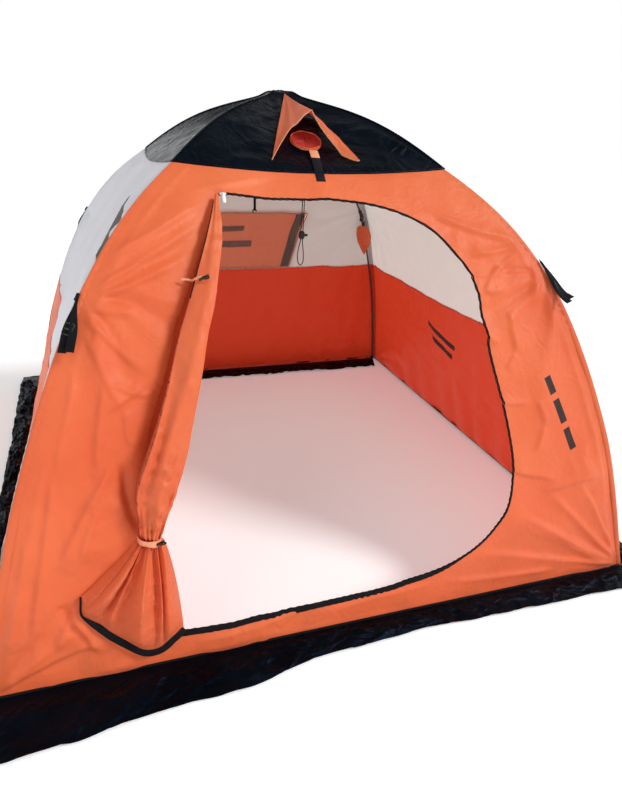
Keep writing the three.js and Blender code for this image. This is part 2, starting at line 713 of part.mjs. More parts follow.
function lowerRod(label) {
  const rod = toSolid(rodAlong(legPoints(), ROD_RADIUS));
  const collar = toSolid(barrel(legPlace(COLLAR[0]), legPlace(COLLAR[1]), 8.5));
  return piece(`lower_rod_${label}`, rod.add(collar), FINISH.rod);
}

function footTip(label) {
  const profile = [[0, 0], [12, 0], [12, 4], [9, 9], [8.5, 40], [0, 40]];
  const geometry = new THREE.LatheGeometry(profile.map(([r, z]) => new THREE.Vector2(r, z)), 12);
  geometry.rotateX(Math.PI / 2);
  geometry.translate(FOOT.x, 0, 0);
  const bore = toSolid(rodAlong(legPoints(GAP), ROD_RADIUS + GAP));
  return piece(`foot_tip_${label}`, toSolid(geometry).subtract(bore), FINISH.rubber);
}

// A cloth tab that hangs on the leg between the knee and the collar, on the inner side.
function kneeTab(label) {
  const top = legPlace(78);
  const bottom = legPlace(COLLAR[0] - 4);
  const down = towards(top, bottom);
  const inward = new THREE.Vector2(-down.y, down.x);
  if (inward.x > 0) inward.negate();
  const length = top.distanceTo(bottom);
  const tab = slab(6, 4, (u, v, side) => {
    const half = 15 + 7 * Math.sin(Math.PI * v);
    const reach = 7.5 + 5 * Math.sin(Math.PI * u) + side * 2.5;
    const p = top.clone().addScaledVector(down, length * v).addScaledVector(inward, reach);
    return [p.x, half * (1 - 2 * u), p.y];
  });
  return piece(`knee_tab_${label}`, toSolid(tab), FINISH.orangeCloth);
}

const STRAP_TOP_Z = 985;
const STRAP_LENGTH = 140;

// A webbing guy strap with a buckle, sewn on the corner of the canopy at knee height.
function guyStrap(label) {
  const t = parameterAtHeight(STRAP_TOP_Z);
  const edge = wallLine.getPoint(t);
  const low = wallLine.getPoint(parameterAtHeight(STRAP_TOP_Z - STRAP_LENGTH));
  const top = new THREE.Vector2(edge.x * Math.SQRT2, edge.y);
  const bottom = new THREE.Vector2(low.x * Math.SQRT2, low.y);
  const down = towards(top, bottom);
  const out = new THREE.Vector2(-down.y, down.x);
  if (out.x < 0) out.negate();
  const at = (distance, rise) => {
    const p = top.clone().addScaledVector(down, distance).addScaledVector(out, rise);
    return [p.x, p.y];
  };
  const strap = prismAlongY(outlineOf([at(0, 8), at(STRAP_LENGTH, 8), at(STRAP_LENGTH, 10.5), at(0, 10.5)]), -12.5, 12.5);
  const buckle = prismAlongY(outlineOf([at(96, 7), at(122, 7), at(122, 13), at(96, 13)]), -16, 16);
  return piece(`guy_strap_${label}`, toSolid(strap).add(toSolid(buckle)), FINISH.blackTrim);
}

// One leg stands in the plane of its group's +X axis.
function leg(label, turn) {
  const group = new THREE.Group();
  group.rotation.z = turn;
  group.add(upperRod(label), kneeUpper(label), kneePin(label), kneeLower(label));
  group.add(lowerRod(label), footTip(label), kneeTab(label), guyStrap(label));
  return group;
}

// ---------------------------------------------------------------- assembly
const shelter = new THREE.Group();

const frame = new THREE.Group();
frame.add(hubCrown(), hubCover(), hubRing());
['front_right', 'back_right', 'back_left', 'front_left'].forEach((label, i) => {
  frame.add(leg(label, -Math.PI / 4 + (i * Math.PI) / 2));
});
shelter.add(frame);

const canopy = new THREE.Group();
canopy.add(...roofPanels(), frontWall(), snowSkirt());
canopy.add(...sideWalls('right', 1), ...backWalls(), ...sideWalls('left', 3), ...windowPieces(), windowTie());
shelter.add(canopy);

const doorway = new THREE.Group();
doorway.add(doorZipTape(), doorZipSlider(), doorPanel());
doorway.add(doorTie('door_tie_upper', UPPER_TIE_STATION, 12, 0));
doorway.add(doorTie('door_tie_lower', LOWER_TIE_STATION - 1, 18, -14));
shelter.add(doorway);

const vent = new THREE.Group();
vent.add(ventHood(), ventSleeve(), ventStrap(), ventCord(), cordLock());
shelter.add(vent);

export default shelter;
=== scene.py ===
"""Looks of the pop-up ice fishing shelter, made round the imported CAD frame.

Metres, +Z up, origin at the centre of the floor square, the doorway faces -Y.
"""
import math

import bpy
import numpy as np
from mathutils import Matrix, Vector
from mathutils.geometry import delaunay_2d_cdt
from mathutils.kdtree import KDTree


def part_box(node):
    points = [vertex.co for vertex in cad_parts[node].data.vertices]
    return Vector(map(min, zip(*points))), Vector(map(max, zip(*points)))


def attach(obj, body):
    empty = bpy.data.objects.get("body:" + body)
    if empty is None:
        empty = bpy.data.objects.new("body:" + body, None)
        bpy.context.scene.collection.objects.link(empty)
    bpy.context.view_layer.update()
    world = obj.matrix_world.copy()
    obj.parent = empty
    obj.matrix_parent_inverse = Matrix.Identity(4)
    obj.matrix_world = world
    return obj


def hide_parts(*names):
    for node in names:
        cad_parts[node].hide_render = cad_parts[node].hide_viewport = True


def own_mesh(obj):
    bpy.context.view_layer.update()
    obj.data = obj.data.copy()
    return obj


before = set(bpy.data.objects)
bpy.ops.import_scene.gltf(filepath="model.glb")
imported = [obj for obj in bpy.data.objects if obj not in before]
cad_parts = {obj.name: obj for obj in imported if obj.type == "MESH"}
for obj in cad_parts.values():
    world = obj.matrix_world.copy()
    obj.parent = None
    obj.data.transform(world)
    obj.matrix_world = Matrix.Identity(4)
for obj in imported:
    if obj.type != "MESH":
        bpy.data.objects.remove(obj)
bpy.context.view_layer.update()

# ---- sizes, from the frame where it has them
ROOF_LOW, ROOF_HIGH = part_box("roof_front")
BAND_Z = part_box("wall_left_lower")[1].z
TIP_Z = ROOF_HIGH.z
SEAM_Z = ROOF_LOW.z
SEAM_HALF = -ROOF_LOW.y
BASE_HALF = 1.0
MID = (0.889, 0.500)  # half-width and height of the canopy part-way up
KNEE = (0.698, 0.973)  # and at the knees of the legs
HEM_Z = 0.010  # the orange walls end here, where the skirt begins
SEAM_DIP = 0.034  # the roof seam hangs this much lower in the middle of a wall
WALL_SAG = 0.016  # and the cloth this far inwards between the poles
ROOF_SAG = 0.010
FOLD_STRENGTH = 1.5  # how much higher the front wall's folds are than FRONT_FOLDS says
ROOF_BOW = 0.024  # the roof poles arch this much above the straight line from seam to tip

SIDES = ("front", "right", "back", "left")
LABELS = ("front_right", "back_right", "back_left", "front_left")


# ---- camera
CAMERA_AT = (-0.649, -2.197, 1.369)
CAMERA_TURN = (18.13, -21.36, 2.73)  # yaw, pitch and roll in degrees
CAMERA_LENS = 26.45  # mm, on a 36 mm sensor
CAMERA_SHIFT = (0.0315, -0.053)


def make_camera():
    yaw, pitch, roll = (math.radians(angle) for angle in CAMERA_TURN)
    ahead = Vector((math.sin(yaw) * math.cos(pitch), math.cos(yaw) * math.cos(pitch), math.sin(pitch)))
    level = ahead.cross(Vector((0, 0, 1))).normalized()
    upright = level.cross(ahead)
    right = level * math.cos(roll) + upright * math.sin(roll)
    up = upright * math.cos(roll) - level * math.sin(roll)
    data = bpy.data.cameras.new("camera")
    data.sensor_width = 36
    data.lens = CAMERA_LENS
    data.shift_x, data.shift_y = CAMERA_SHIFT
    data.clip_start = 0.05
    camera = bpy.data.objects.new("camera", data)
    turn = Matrix((right, up, -ahead)).transposed()
    camera.matrix_world = Matrix.Translation(CAMERA_AT) @ turn.to_4x4()
    bpy.context.scene.collection.objects.link(camera)
    bpy.context.scene.camera = camera


make_camera()


# ---- small mathematics
def smoothstep(low, high, value):
    t = np.clip((value - low) / (high - low), 0, 1)
    return t * t * (3 - 2 * t)


def value_noise(x, y, seed):
    """Smooth noise from -1 to 1 with one bump per unit."""
    i, j = np.floor(x), np.floor(y)
    u, v = x - i, y - j
    u, v = u * u * (3 - 2 * u), v * v * (3 - 2 * v)

    def corner(a, b):
        h = np.sin((i + a) * 127.1 + (j + b) * 311.7 + seed * 74.7) * 43758.5453
        return 2 * (h - np.floor(h)) - 1

    low = corner(0, 0) * (1 - u) + corner(1, 0) * u
    high = corner(0, 1) * (1 - u) + corner(1, 1) * u
    return low * (1 - v) + high * v


def crumple(x, y, size, seed, octaves=3):
    """Sharp ridges between soft hollows, as in creased film, from about -1 to 1."""
    total, share = 0, 1
    for k in range(octaves):
        warp = 0.6 * value_noise(x / size * 0.7, y / size * 0.7, seed + 31 + k)
        total = total + share * (1 - 2.2 * np.abs(value_noise(x / size + warp, y / size - warp, seed + k)))
        size, share = size * 0.52, share * 0.55
    return total / 1.8


def crease(x, s, start, end, width, height):
    """One fold from start to end: steep on one side, easy on the other, fading at its ends."""
    dx, ds = end[0] - start[0], end[1] - start[1]
    length = math.hypot(dx, ds)
    along = ((x - start[0]) * dx + (s - start[1]) * ds) / length ** 2
    beside = ((x - start[0]) * ds - (s - start[1]) * dx) / length
    beside = beside + 0.25 * width * np.sin(5 * along + 7 * start[0])
    spread = width * (0.7 + 0.6 * np.clip(along, 0, 1))
    shape = np.where(beside > 0, np.exp(-((beside / (0.6 * spread)) ** 2)), np.exp(beside / (1.5 * spread)))
    fade = smoothstep(-0.08, 0.18, along) * (1 - smoothstep(0.72, 1.08, along))
    return height * shape * fade


def fan(x, s, centre, reach, rays, height, seed):
    """Folds that spread out from a point where the cloth is pulled."""
    dx, ds = x - centre[0], s - centre[1]
    r = np.hypot(dx, ds)
    angle = np.arctan2(ds, dx) + 0.12 * value_noise(r / 0.11, 0 * r, seed)
    wave = np.sin(rays * angle + seed) + 0.7 * np.sin(1.73 * rays * angle + 2.1 * seed)
    grow = (r / reach) * np.exp(1 - r / reach)
    return height * grow * np.sign(wave) * np.abs(wave / 1.7) ** 1.4


# ---- the canopy's line, from hem to tip
def canopy_line(steps=600):
    """Half-width and height along the smooth line through the driving points."""
    points = np.array([(BASE_HALF, 0), MID, KNEE, (SEAM_HALF, SEAM_Z), (0, TIP_Z)])
    last = len(points) - 1
    out = []
    for t in np.linspace(0, last, steps):
        k = min(int(t), last - 1)
        w = t - k
        p0, p1, p2, p3 = points[max(k - 1, 0)], points[k], points[k + 1], points[min(k + 2, last)]
        v0, v1 = (p2 - p0) / 2, (p3 - p1) / 2
        cube, square = 2 * p1 - 2 * p2 + v0 + v1, 3 * p2 - 3 * p1 - 2 * v0 - v1
        out.append(cube * w ** 3 + square * w ** 2 + v0 * w + p1)
    return np.array(out)


LINE = canopy_line()
LINE_S = np.concatenate([[0], np.cumsum(np.linalg.norm(np.diff(LINE, axis=0), axis=1))])
LINE_DIRECTION = np.gradient(LINE, LINE_S, axis=0)
LENGTH = LINE_S[-1]


def half_at(s):
    """Half-width of the canopy at a distance up the cloth from the floor."""
    return np.interp(s, LINE_S, LINE[:, 0])


def height_at(s):
    return np.interp(s, LINE_S, LINE[:, 1])


def direction_at(s):
    """How the half-width and the height change along the cloth."""
    return [np.interp(s, LINE_S, LINE_DIRECTION[:, k]) for k in (0, 1)]


def s_at(z):
    """Distance up the cloth at a height."""
    return np.interp(z, LINE[:, 1], LINE_S)


SEAM_S = float(s_at(SEAM_Z))
BAND_S = float(s_at(BAND_Z))
HEM_S = float(s_at(HEM_Z))
KNEE_S = float(s_at(KNEE[1]))


def seam_s(x):
    """Where the roof seam runs: it hangs lower in the middle of each wall."""
    return SEAM_S - SEAM_DIP * (1 - np.clip(x / SEAM_HALF, -1, 1) ** 2)


def turned(points, side):
    """Points of the front side turned to another side, counted as in SIDES."""
    angle = side * math.pi / 2
    c, n = math.cos(angle), math.sin(angle)
    return points @ np.array([[c, n, 0], [-n, c, 0], [0, 0, 1]])


def at_wall(side, x, s, out=0.0):
    """Points on one side of the canopy: x across, s up the cloth from the floor, out along the normal."""
    x, s = np.broadcast_arrays(np.asarray(x, float), np.asarray(s, float))
    dh, dz = direction_at(s)
    return turned(np.stack([x, -(half_at(s) + out * dz), height_at(s) - out * dh], axis=-1), side)


def wall_normal(side, s):
    """Outward directions on one side of the canopy."""
    dh, dz = direction_at(s)
    return turned(np.stack([0 * dh, -dz, -dh], axis=-1), side)


# ---- how the cloth hangs and creases
# Folds of the front wall: x and height of the start, x and height of the end, width and height of the fold.
FRONT_FOLDS = [
    (-0.68, 0.96, -0.385, 1.125, 0.02, 0.01), (-0.645, 1.03, -0.38, 1.165, 0.019, 0.0085),
    (-0.665, 0.945, -0.44, 1.04, 0.017, 0.0085), (-0.69, 0.925, -0.57, 0.92, 0.015, 0.006),
    (-0.69, 0.9, -0.55, 0.775, 0.015, 0.006), (-0.7, 0.87, -0.615, 0.69, 0.015, 0.0055),
    (-0.645, 0.75, -0.54, 0.72, 0.013, 0.005), (-0.66, 0.69, -0.56, 0.755, 0.013, 0.005),
    (-0.62, 0.69, -0.597, 0.59, 0.014, 0.006), (-0.78, 0.81, -0.888, 0.46, 0.019, 0.008),
    (-0.735, 0.78, -0.785, 0.54, 0.018, 0.0075), (-0.7, 0.47, -0.745, 0.33, 0.015, 0.007),
    (-0.905, 0.3, -0.965, 0.06, 0.016, 0.008), (-0.96, 0.04, -0.7, 0.13, 0.015, 0.007),
    (-0.67, 0.75, -0.69, 0.52, 0.018, 0.007), (-0.66, 0.57, -0.8, 0.315, 0.016, 0.0105),
    (-0.8, 0.56, -0.87, 0.11, 0.019, 0.0085), (-0.87, 0.42, -0.945, 0.05, 0.02, 0.008),
    (-0.765, 0.225, -0.815, 0.115, 0.016, 0.008), (-0.775, 0.185, -0.705, 0.085, 0.016, 0.008),
    (-0.69, 0.13, -0.6, 0.035, 0.013, 0.0055), (-0.64, 0.56, -0.602, 0.39, 0.018, -0.013),
    (-0.81, 0.225, -0.765, 0.15, 0.018, -0.009), (-0.38, 1.2, -0.15, 1.235, 0.018, 0.0045),
    (0.33, 1.14, 0.615, 1.06, 0.019, 0.0085), (0.435, 1.035, 0.62, 1.052, 0.015, 0.007),
    (0.505, 0.985, 0.625, 1.045, 0.015, 0.0075), (0.53, 1.0, 0.46, 0.935, 0.015, 0.006),
    (0.46, 0.935, 0.54, 0.93, 0.013, 0.0055), (0.655, 1.02, 0.63, 0.89, 0.016, 0.007),
    (0.685, 0.98, 0.69, 0.8, 0.015, 0.0055), (0.54, 0.87, 0.56, 0.75, 0.013, 0.006),
    (0.56, 0.75, 0.515, 0.715, 0.012, 0.0055), (0.43, 0.83, 0.5, 0.78, 0.014, 0.0055),
    (0.63, 0.61, 0.65, 0.53, 0.012, 0.005), (0.65, 0.53, 0.615, 0.455, 0.012, 0.005),
    (0.49, 0.62, 0.6, 0.6, 0.013, 0.005), (0.54, 0.41, 0.7, 0.355, 0.018, 0.007),
    (0.655, 0.33, 0.89, 0.36, 0.02, 0.008), (0.96, 0.05, 0.67, 0.31, 0.02, 0.01),
    (0.965, 0.06, 0.785, 0.33, 0.017, 0.0095), (0.955, 0.045, 0.56, 0.25, 0.02, 0.009),
    (0.95, 0.04, 0.41, 0.15, 0.017, 0.0075), (0.7, 0.05, 0.29, 0.085, 0.013, 0.006),
    (0.25, 0.085, -0.1, 0.06, 0.014, 0.0045), (-0.15, 0.085, -0.48, 0.055, 0.013, 0.0045),
]


def corner_folds(x, s, seed):
    """Folds that the knees, the hem corners and the poles pull into any wall."""
    out = 0 * x
    for sign in (-1, 1):
        knee = (sign * KNEE[0], KNEE_S)
        foot = (sign * half_at(HEM_S), HEM_S)
        out = out + fan(x, s, knee, 0.16, 9, 0.0065, seed + sign)
        out = out + fan(x, s, foot, 0.24, 11, 0.0065, seed + 5 + sign)
        beside = half_at(s) - sign * x
        out = out + 0.0050 * np.exp(-(((beside - 0.052) / 0.011) ** 2)) * (0.7 + 0.3 * np.sin(s * 9 + seed))
    return out


def pucker(along, away, seed):
    """Small gathers beside a sewn edge."""
    wave = np.sin(2 * math.pi * along / 0.023 + 2.5 * value_noise(along / 0.07, 0 * along, seed))
    return 0.0011 * wave * np.exp(-away / 0.022)


def wall_relief(side, x, s, far_from_edge):
    """How far a wall stands out of the plain canopy surface at each point."""
    half = half_at(s)
    across = np.clip(1 - (x / half) ** 2, 0, 1)
    upward = np.sin(math.pi * np.clip((s - HEM_S) / (SEAM_S - HEM_S), 0, 1)) ** 0.8
    seed = 11 * side + 3
    out = -WALL_SAG * across * upward
    out = out + corner_folds(x, s, seed)
    out = out + 0.0060 * value_noise(x / 0.17, s / 0.34, seed)
    out = out + 0.0030 * value_noise(x / 0.06, s / 0.13, seed + 1)
    patches = smoothstep(-0.3, 0.5, value_noise(x / 0.3, s / 0.26, seed + 2))
    out = out + 0.0046 * patches * crumple(x, s, 0.10, seed + 7)
    if side == 0:
        for x0, z0, x1, z1, width, height in FRONT_FOLDS:
            out = out + crease(x, s, (x0, s_at(z0)), (x1, s_at(z1)), width, FOLD_STRENGTH * height)
        hinge_side = smoothstep(-0.28, -0.36, x) * smoothstep(0.36, 0.46, s) * smoothstep(1.42, 1.25, s)
        out = out - 0.016 * hinge_side * np.exp(-far_from_edge / 0.022)
    else:
        low = np.exp(-(s - HEM_S) / 0.3)
        out = out + 0.006 * low * np.sin(2 * math.pi * x / 0.19 + 3 * value_noise(x / 0.3, s / 0.5, seed + 4))
    beside = np.clip(half - np.abs(x), 0, 1)
    out = out * smoothstep(0, 0.07, beside) * smoothstep(0, 0.03, s - HEM_S + 0.004)
    out = out * smoothstep(-0.004, 0.03, seam_s(x) - s)
    out = out + pucker(s, beside, seed) * smoothstep(0, 0.01, beside)
    return out + pucker(x + s, far_from_edge, seed + 9)


def roof_rise(x, s):
    """How much higher the roof is than its plain surface: arched poles and a blunt tip over the hub."""
    half = np.maximum(half_at(s), 1e-4)
    up = np.clip((s - SEAM_S) / (LENGTH - SEAM_S), 0, 1)
    arch = ROOF_BOW * np.sin(math.pi * np.clip(up / 0.86, 0, 1)) ** 1.2 * np.clip(np.abs(x) / half, 0, 1) ** 2
    shoulder = 0.004 * np.exp(-(((half - 0.036) / 0.014) ** 2))
    return arch + shoulder - 0.009 * np.exp(-((half / 0.026) ** 2))


def roof_relief(side, x, s, far_from_edge):
    half = np.maximum(half_at(s), 1e-4)
    across = np.clip(1 - (x / half) ** 2, 0, 1)
    up = (s - SEAM_S) / (LENGTH - SEAM_S)
    seed = 7 * side + 41
    beside = np.clip(half - np.abs(x), 0, 1)
    out = -ROOF_SAG * across * np.sin(math.pi * np.clip(up, 0, 1)) ** 0.7
    strength = 1.0 if side == 0 else 0.5
    out = out + strength * 0.0060 * crumple(x, s, 0.13, seed) * across ** 0.5
    out = out + strength * 0.0040 * fan(x, s, (0, LENGTH), 0.2, 15, 1.0, seed) * across
    for sign in (-1, 1):
        corner = (sign * SEAM_HALF, SEAM_S)
        out = out + strength * fan(x, s, corner, 0.17, 9, 0.0070, seed + sign)
    out = out * smoothstep(0, 0.05, beside) * smoothstep(-0.002, 0.09, s - seam_s(x))
    out = out * smoothstep(0, 0.1, LENGTH - s)
    return out + pucker(s, beside, seed) * smoothstep(0, 0.01, beside) + pucker(x, far_from_edge, seed)


# ---- meshes
def link(name, mesh):
    piece = bpy.data.objects.new(name, mesh)
    bpy.context.scene.collection.objects.link(piece)
    return piece


def mesh_piece(name, points, faces, flat=None):
    """A mesh from arrays. flat holds each point's place on the flat cloth, in metres, for the weave."""
    mesh = bpy.data.meshes.new(name)
    mesh.from_pydata([tuple(p) for p in np.asarray(points, float)], [], [tuple(map(int, f)) for f in faces])
    mesh.validate()
    mesh.polygons.foreach_set("use_smooth", [True] * len(mesh.polygons))
    if flat is not None:
        layer = mesh.uv_layers.new(name="flat")
        corner = np.zeros(len(mesh.loops), int)
        mesh.loops.foreach_get("vertex_index", corner)
        layer.data.foreach_set("uv", np.asarray(flat, float)[corner].ravel())
    mesh.update()
    return link(name, mesh)


def grid_faces(columns, rows, around=False):
    """Quads over a grid whose points run row by row; around joins the last column to the first."""
    faces = []
    for j in range(rows - 1):
        for i in range(columns if around else columns - 1):
            k = (i + 1) % columns
            faces.append((j * columns + i, j * columns + k, (j + 1) * columns + k, (j + 1) * columns + i))
    return faces


def reversed_faces(faces):
    return [face[::-1] for face in faces]


def swept(name, path, normals, section, closed=False, widths=None):
    """A section, given as (across, out) points, carried along a path."""
    path, normals, section = np.asarray(path, float), np.asarray(normals, float), np.asarray(section, float)
    count = len(path)
    if closed:
        ahead = np.roll(path, -1, 0) - np.roll(path, 1, 0)
    else:
        ahead = np.gradient(path, axis=0)
    ahead /= np.linalg.norm(ahead, axis=1)[:, None]
    across = np.cross(ahead, normals)
    across /= np.linalg.norm(across, axis=1)[:, None]
    out = np.cross(across, ahead)
    size = np.ones(count) if widths is None else np.asarray(widths, float)
    rings = (
        path[:, None]
        + across[:, None] * (section[None, :, :1] * size[:, None, None])
        + out[:, None] * section[None, :, 1:2]
    )
    steps = np.concatenate([[0], np.cumsum(np.linalg.norm(np.diff(path, axis=0), axis=1))])
    round_it = np.concatenate([[0], np.cumsum(np.linalg.norm(np.diff(section, axis=0), axis=1))])
    flat = np.stack(np.broadcast_arrays(round_it[None], steps[:, None]), -1).reshape(-1, 2)
    sides = len(section)
    faces = grid_faces(sides, count, around=True)
    if closed:
        last = (count - 1) * sides
        faces += [(last + i, last + (i + 1) % sides, (i + 1) % sides, i) for i in range(sides)]
    else:
        faces += [tuple(range(sides))[::-1], tuple((count - 1) * sides + i for i in range(sides))]
    return mesh_piece(name, rings.reshape(-1, 3), faces, flat)


def wall_strip(name, side, x, s, out, section, **more):
    """A section carried along a line on one side of the canopy."""
    return swept(name, at_wall(side, x, s, out), wall_normal(side, s), section, **more)


def round_section(radius, sides=10):
    turns = np.arange(sides) * 2 * math.pi / sides
    return np.stack([radius * np.cos(turns), radius * np.sin(turns)], -1)


def tape_section(width, thick, lift=0.0):
    """A flat tape with softened edges that lies lift above its path."""
    w, e = width / 2, thick * 0.4
    low = [(-w, lift + e), (-w + e, lift), (w - e, lift), (w, lift + e)]
    return np.array(low + [(x, 2 * lift + thick - z) for x, z in reversed(low)])


def joined(name, pieces, finishes=()):
    """Several objects made into one mesh; finishes, where given, are their materials in turn."""
    for piece, finish in zip(pieces, finishes):
        piece.data.materials.append(finish)
    bpy.ops.object.select_all(action="DESELECT")
    for piece in pieces:
        piece.select_set(True)
    bpy.context.view_layer.objects.active = pieces[0]
    bpy.ops.object.join()
    pieces[0].name = name
    pieces[0].data.name = name
    return pieces[0]


def subdivided(piece):
    piece.modifiers.new("fine", "SUBSURF").levels = 1
    depsgraph = bpy.context.evaluated_depsgraph_get()
    fine = bpy.data.meshes.new_from_object(piece.evaluated_get(depsgraph), depsgraph=depsgraph)
    piece.modifiers.clear()
    piece.data = fine
    return piece


# ---- flat cuts of cloth
def resampled(loop, spacing):
    """The same closed outline with extra points, so that no step is longer than spacing."""
    out = []
    for a, b in zip(loop, np.roll(loop, -1, 0)):
        count = max(1, math.ceil(np.linalg.norm(b - a) / spacing))
        out += [a + (b - a) * k / count for k in range(count)]
    return np.array(out)


def inside(points, loop):
    """Which points lie inside a closed outline."""
    result = np.zeros(len(points), bool)
    for (x0, y0), (x1, y1) in zip(loop, np.roll(loop, -1, 0)):
        if y0 == y1:
            continue
        crossing = (y0 > points[:, 1]) != (y1 > points[:, 1])
        result ^= crossing & (points[:, 0] < (x1 - x0) * (points[:, 1] - y0) / (y1 - y0) + x0)
    return result


def distance_to(points, loops):
    """How far each point is from the nearest point of the outlines."""
    marks = np.vstack([resampled(loop, 0.004) for loop in loops])
    tree = KDTree(len(marks))
    for k, p in enumerate(marks):
        tree.insert((p[0], p[1], 0), k)
    tree.balance()
    return np.array([tree.find((p[0], p[1], 0))[2] for p in points])


def cut_cloth(outline, holes, spacing):
    """Points and triangles that fill a flat cut of cloth."""
    loops = [resampled(np.array(loop, float), spacing) for loop in (outline, *holes)]
    low, high = loops[0].min(0), loops[0].max(0)
    rows = np.arange(low[1] + spacing / 2, high[1], spacing * 0.866)
    lattice = []
    for k, y in enumerate(rows):
        xs = np.arange(low[0] + spacing * (0.25 + 0.5 * (k % 2)), high[0], spacing)
        lattice.append(np.stack([xs, np.full(len(xs), y)], -1))
    lattice = np.vstack(lattice)
    keep = inside(lattice, loops[0])
    for hole in loops[1:]:
        keep &= ~inside(lattice, hole)
    lattice = lattice[keep]
    lattice = lattice[distance_to(lattice, loops) > 0.55 * spacing]
    edges, start = [], 0
    for loop in loops:
        count = len(loop)
        edges += [(start + k, start + (k + 1) % count) for k in range(count)]
        start += count
    points = np.vstack([*loops, lattice])
    made = delaunay_2d_cdt([Vector(p) for p in points], edges, [], 0, 1e-7)
    flat = np.array([tuple(p) for p in made[0]])
    triangles = np.array([f for f in made[2] if len(f) == 3])
    middle = flat[triangles].mean(1)
    good = inside(middle, loops[0])
    for hole in loops[1:]:
        good &= ~inside(middle, hole)
    return flat, triangles[good]


def wall_outline(low, high):
    """Outline of a wall between two lines up the cloth; high may be the hanging roof seam."""
    levels = np.linspace(low, SEAM_S if high is seam_s else high, 60)
    right = [(float(half_at(s)), float(s)) for s in levels]
    left = [(-x, s) for x, s in reversed(right)]
    if high is not seam_s:
        return right + left
    xs = np.linspace(SEAM_HALF, -SEAM_HALF, 50)[1:-1]
    return right + [(float(x), float(seam_s(x))) for x in xs] + left


def roof_outline():
    levels = np.linspace(SEAM_S, LENGTH, 30)[:-1]
    right = [(float(half_at(s)), float(s)) for s in levels]
    left = [(-x, s) for x, s in reversed(right)]
    xs = np.linspace(-SEAM_HALF, SEAM_HALF, 50)[1:-1]
    return right + [(0.0, LENGTH)] + left + [(float(x), float(seam_s(x))) for x in xs]


# ---- materials
class Shader:
    """Builds one node material; each method adds a node and returns its output."""

    def __init__(self, name):
        self.material = bpy.data.materials.new(name)
        self.material.use_nodes = True
        self.nodes = self.material.node_tree.nodes
        self.links = self.material.node_tree.links
        self.surface = self.nodes["Principled BSDF"]
        self.output = self.nodes["Material Output"]

    def node(self, kind, inputs=(), **settings):
        made = self.nodes.new(kind)
        for key, value in settings.items():
            setattr(made, key, value)
        for key, value in dict(inputs).items():
            if isinstance(value, bpy.types.NodeSocket):
                self.links.new(value, made.inputs[key])
            else:
                made.inputs[key].default_value = value
        return made

    def cloth_place(self):
        return self.node("ShaderNodeUVMap", uv_map="flat").outputs["UV"]

    def object_place(self):
        return self.node("ShaderNodeTexCoord").outputs["Object"]

    def noise(self, place, scale, detail=3.0, rough=0.55):
        inputs = {"Vector": place, "Scale": scale, "Detail": detail, "Roughness": rough}
        return self.node("ShaderNodeTexNoise", inputs).outputs["Fac"]

    def wave(self, place, scale, direction):
        made = self.node("ShaderNodeTexWave", {"Vector": place, "Scale": scale}, bands_direction=direction)
        return made.outputs["Fac"]

    def creased(self, place, scale, detail, rough, distortion):
        """Sharp lines where a warped noise crosses its middle value."""
        inputs = {"Vector": place, "Scale": scale, "Detail": detail, "Roughness": rough}
        inputs["Distortion"] = distortion
        noise = self.node("ShaderNodeTexNoise", inputs).outputs["Fac"]
        return self.math("ABSOLUTE", self.math("SUBTRACT", noise, 0.5))

    def math(self, operation, a, b=0.0, c=0.0):
        return self.node("ShaderNodeMath", {0: a, 1: b, 2: c}, operation=operation).outputs[0]

    def ramp(self, value, low, high, to_low=0.0, to_high=1.0):
        inputs = {"Value": value, "From Min": low, "From Max": high, "To Min": to_low, "To Max": to_high}
        return self.node("ShaderNodeMapRange", inputs).outputs["Result"]

    def bar(self, place, start, end, width):
        """Near 1 inside a plain bar from start to end, as (x, distance up the cloth), and 0 outside it."""
        length = math.hypot(end[0] - start[0], end[1] - start[1])
        middle = ((start[0] + end[0]) / 2, (start[1] + end[1]) / 2, 0)
        turn = (0, 0, math.atan2(end[1] - start[1], end[0] - start[0]))
        inputs = {"Vector": place, "Location": middle, "Rotation": turn, "Scale": (length / 2, width / 2, 1)}
        spot = self.node("ShaderNodeMapping", inputs, vector_type="TEXTURE").outputs[0]
        split = self.node("ShaderNodeSeparateXYZ", {0: spot}).outputs
        far = self.math("MAXIMUM", self.math("ABSOLUTE", split["X"]), self.math("ABSOLUTE", split["Y"]))
        return self.ramp(far, 0.97, 1.0, 0.97, 0.0)

    def mix(self, share, a, b):
        return self.node("ShaderNodeMix", {0: share, 6: a, 7: b}, data_type="RGBA").outputs[2]

    def bump(self, height, depth, strength=1.0, under=None):
        inputs = {"Height": height, "Distance": depth, "Strength": strength}
        if under is not None:
            inputs["Normal"] = under
        return self.node("ShaderNodeBump", inputs).outputs["Normal"]

    def blend_surface(self, share, first, second):
        both = self.node("ShaderNodeMixShader", {0: share, 1: first.outputs[0], 2: second.outputs[0]})
        self.links.new(both.outputs[0], self.output.inputs["Surface"])

    def finish(self, colour, roughness, normal=None, specular=0.5, metallic=0.0, sheen=0.0, through=0.0):
        """Ends the material. through is the share of light that thin cloth lets pass."""
        s = self.surface.inputs
        for socket, value in (("Base Color", colour), ("Roughness", roughness), ("Normal", normal)):
            if value is None:
                continue
            if isinstance(value, bpy.types.NodeSocket):
                self.links.new(value, s[socket])
            else:
                s[socket].default_value = value
        s["Specular IOR Level"].default_value = specular
        s["Metallic"].default_value = metallic
        s["Sheen Weight"].default_value = sheen
        if through:
            glow = self.node("ShaderNodeBsdfTranslucent", {"Color": colour})
            self.blend_surface(through, self.surface, glow)
        return self.material


def rgb(red, green, blue):
    """A colour as seen on a screen, 0 to 255, made linear."""
    shares = (red / 255, green / 255, blue / 255)
    return (*(((c + 0.055) / 1.055) ** 2.4 if c > 10 / 255 else c / 12.92 for c in shares), 1)


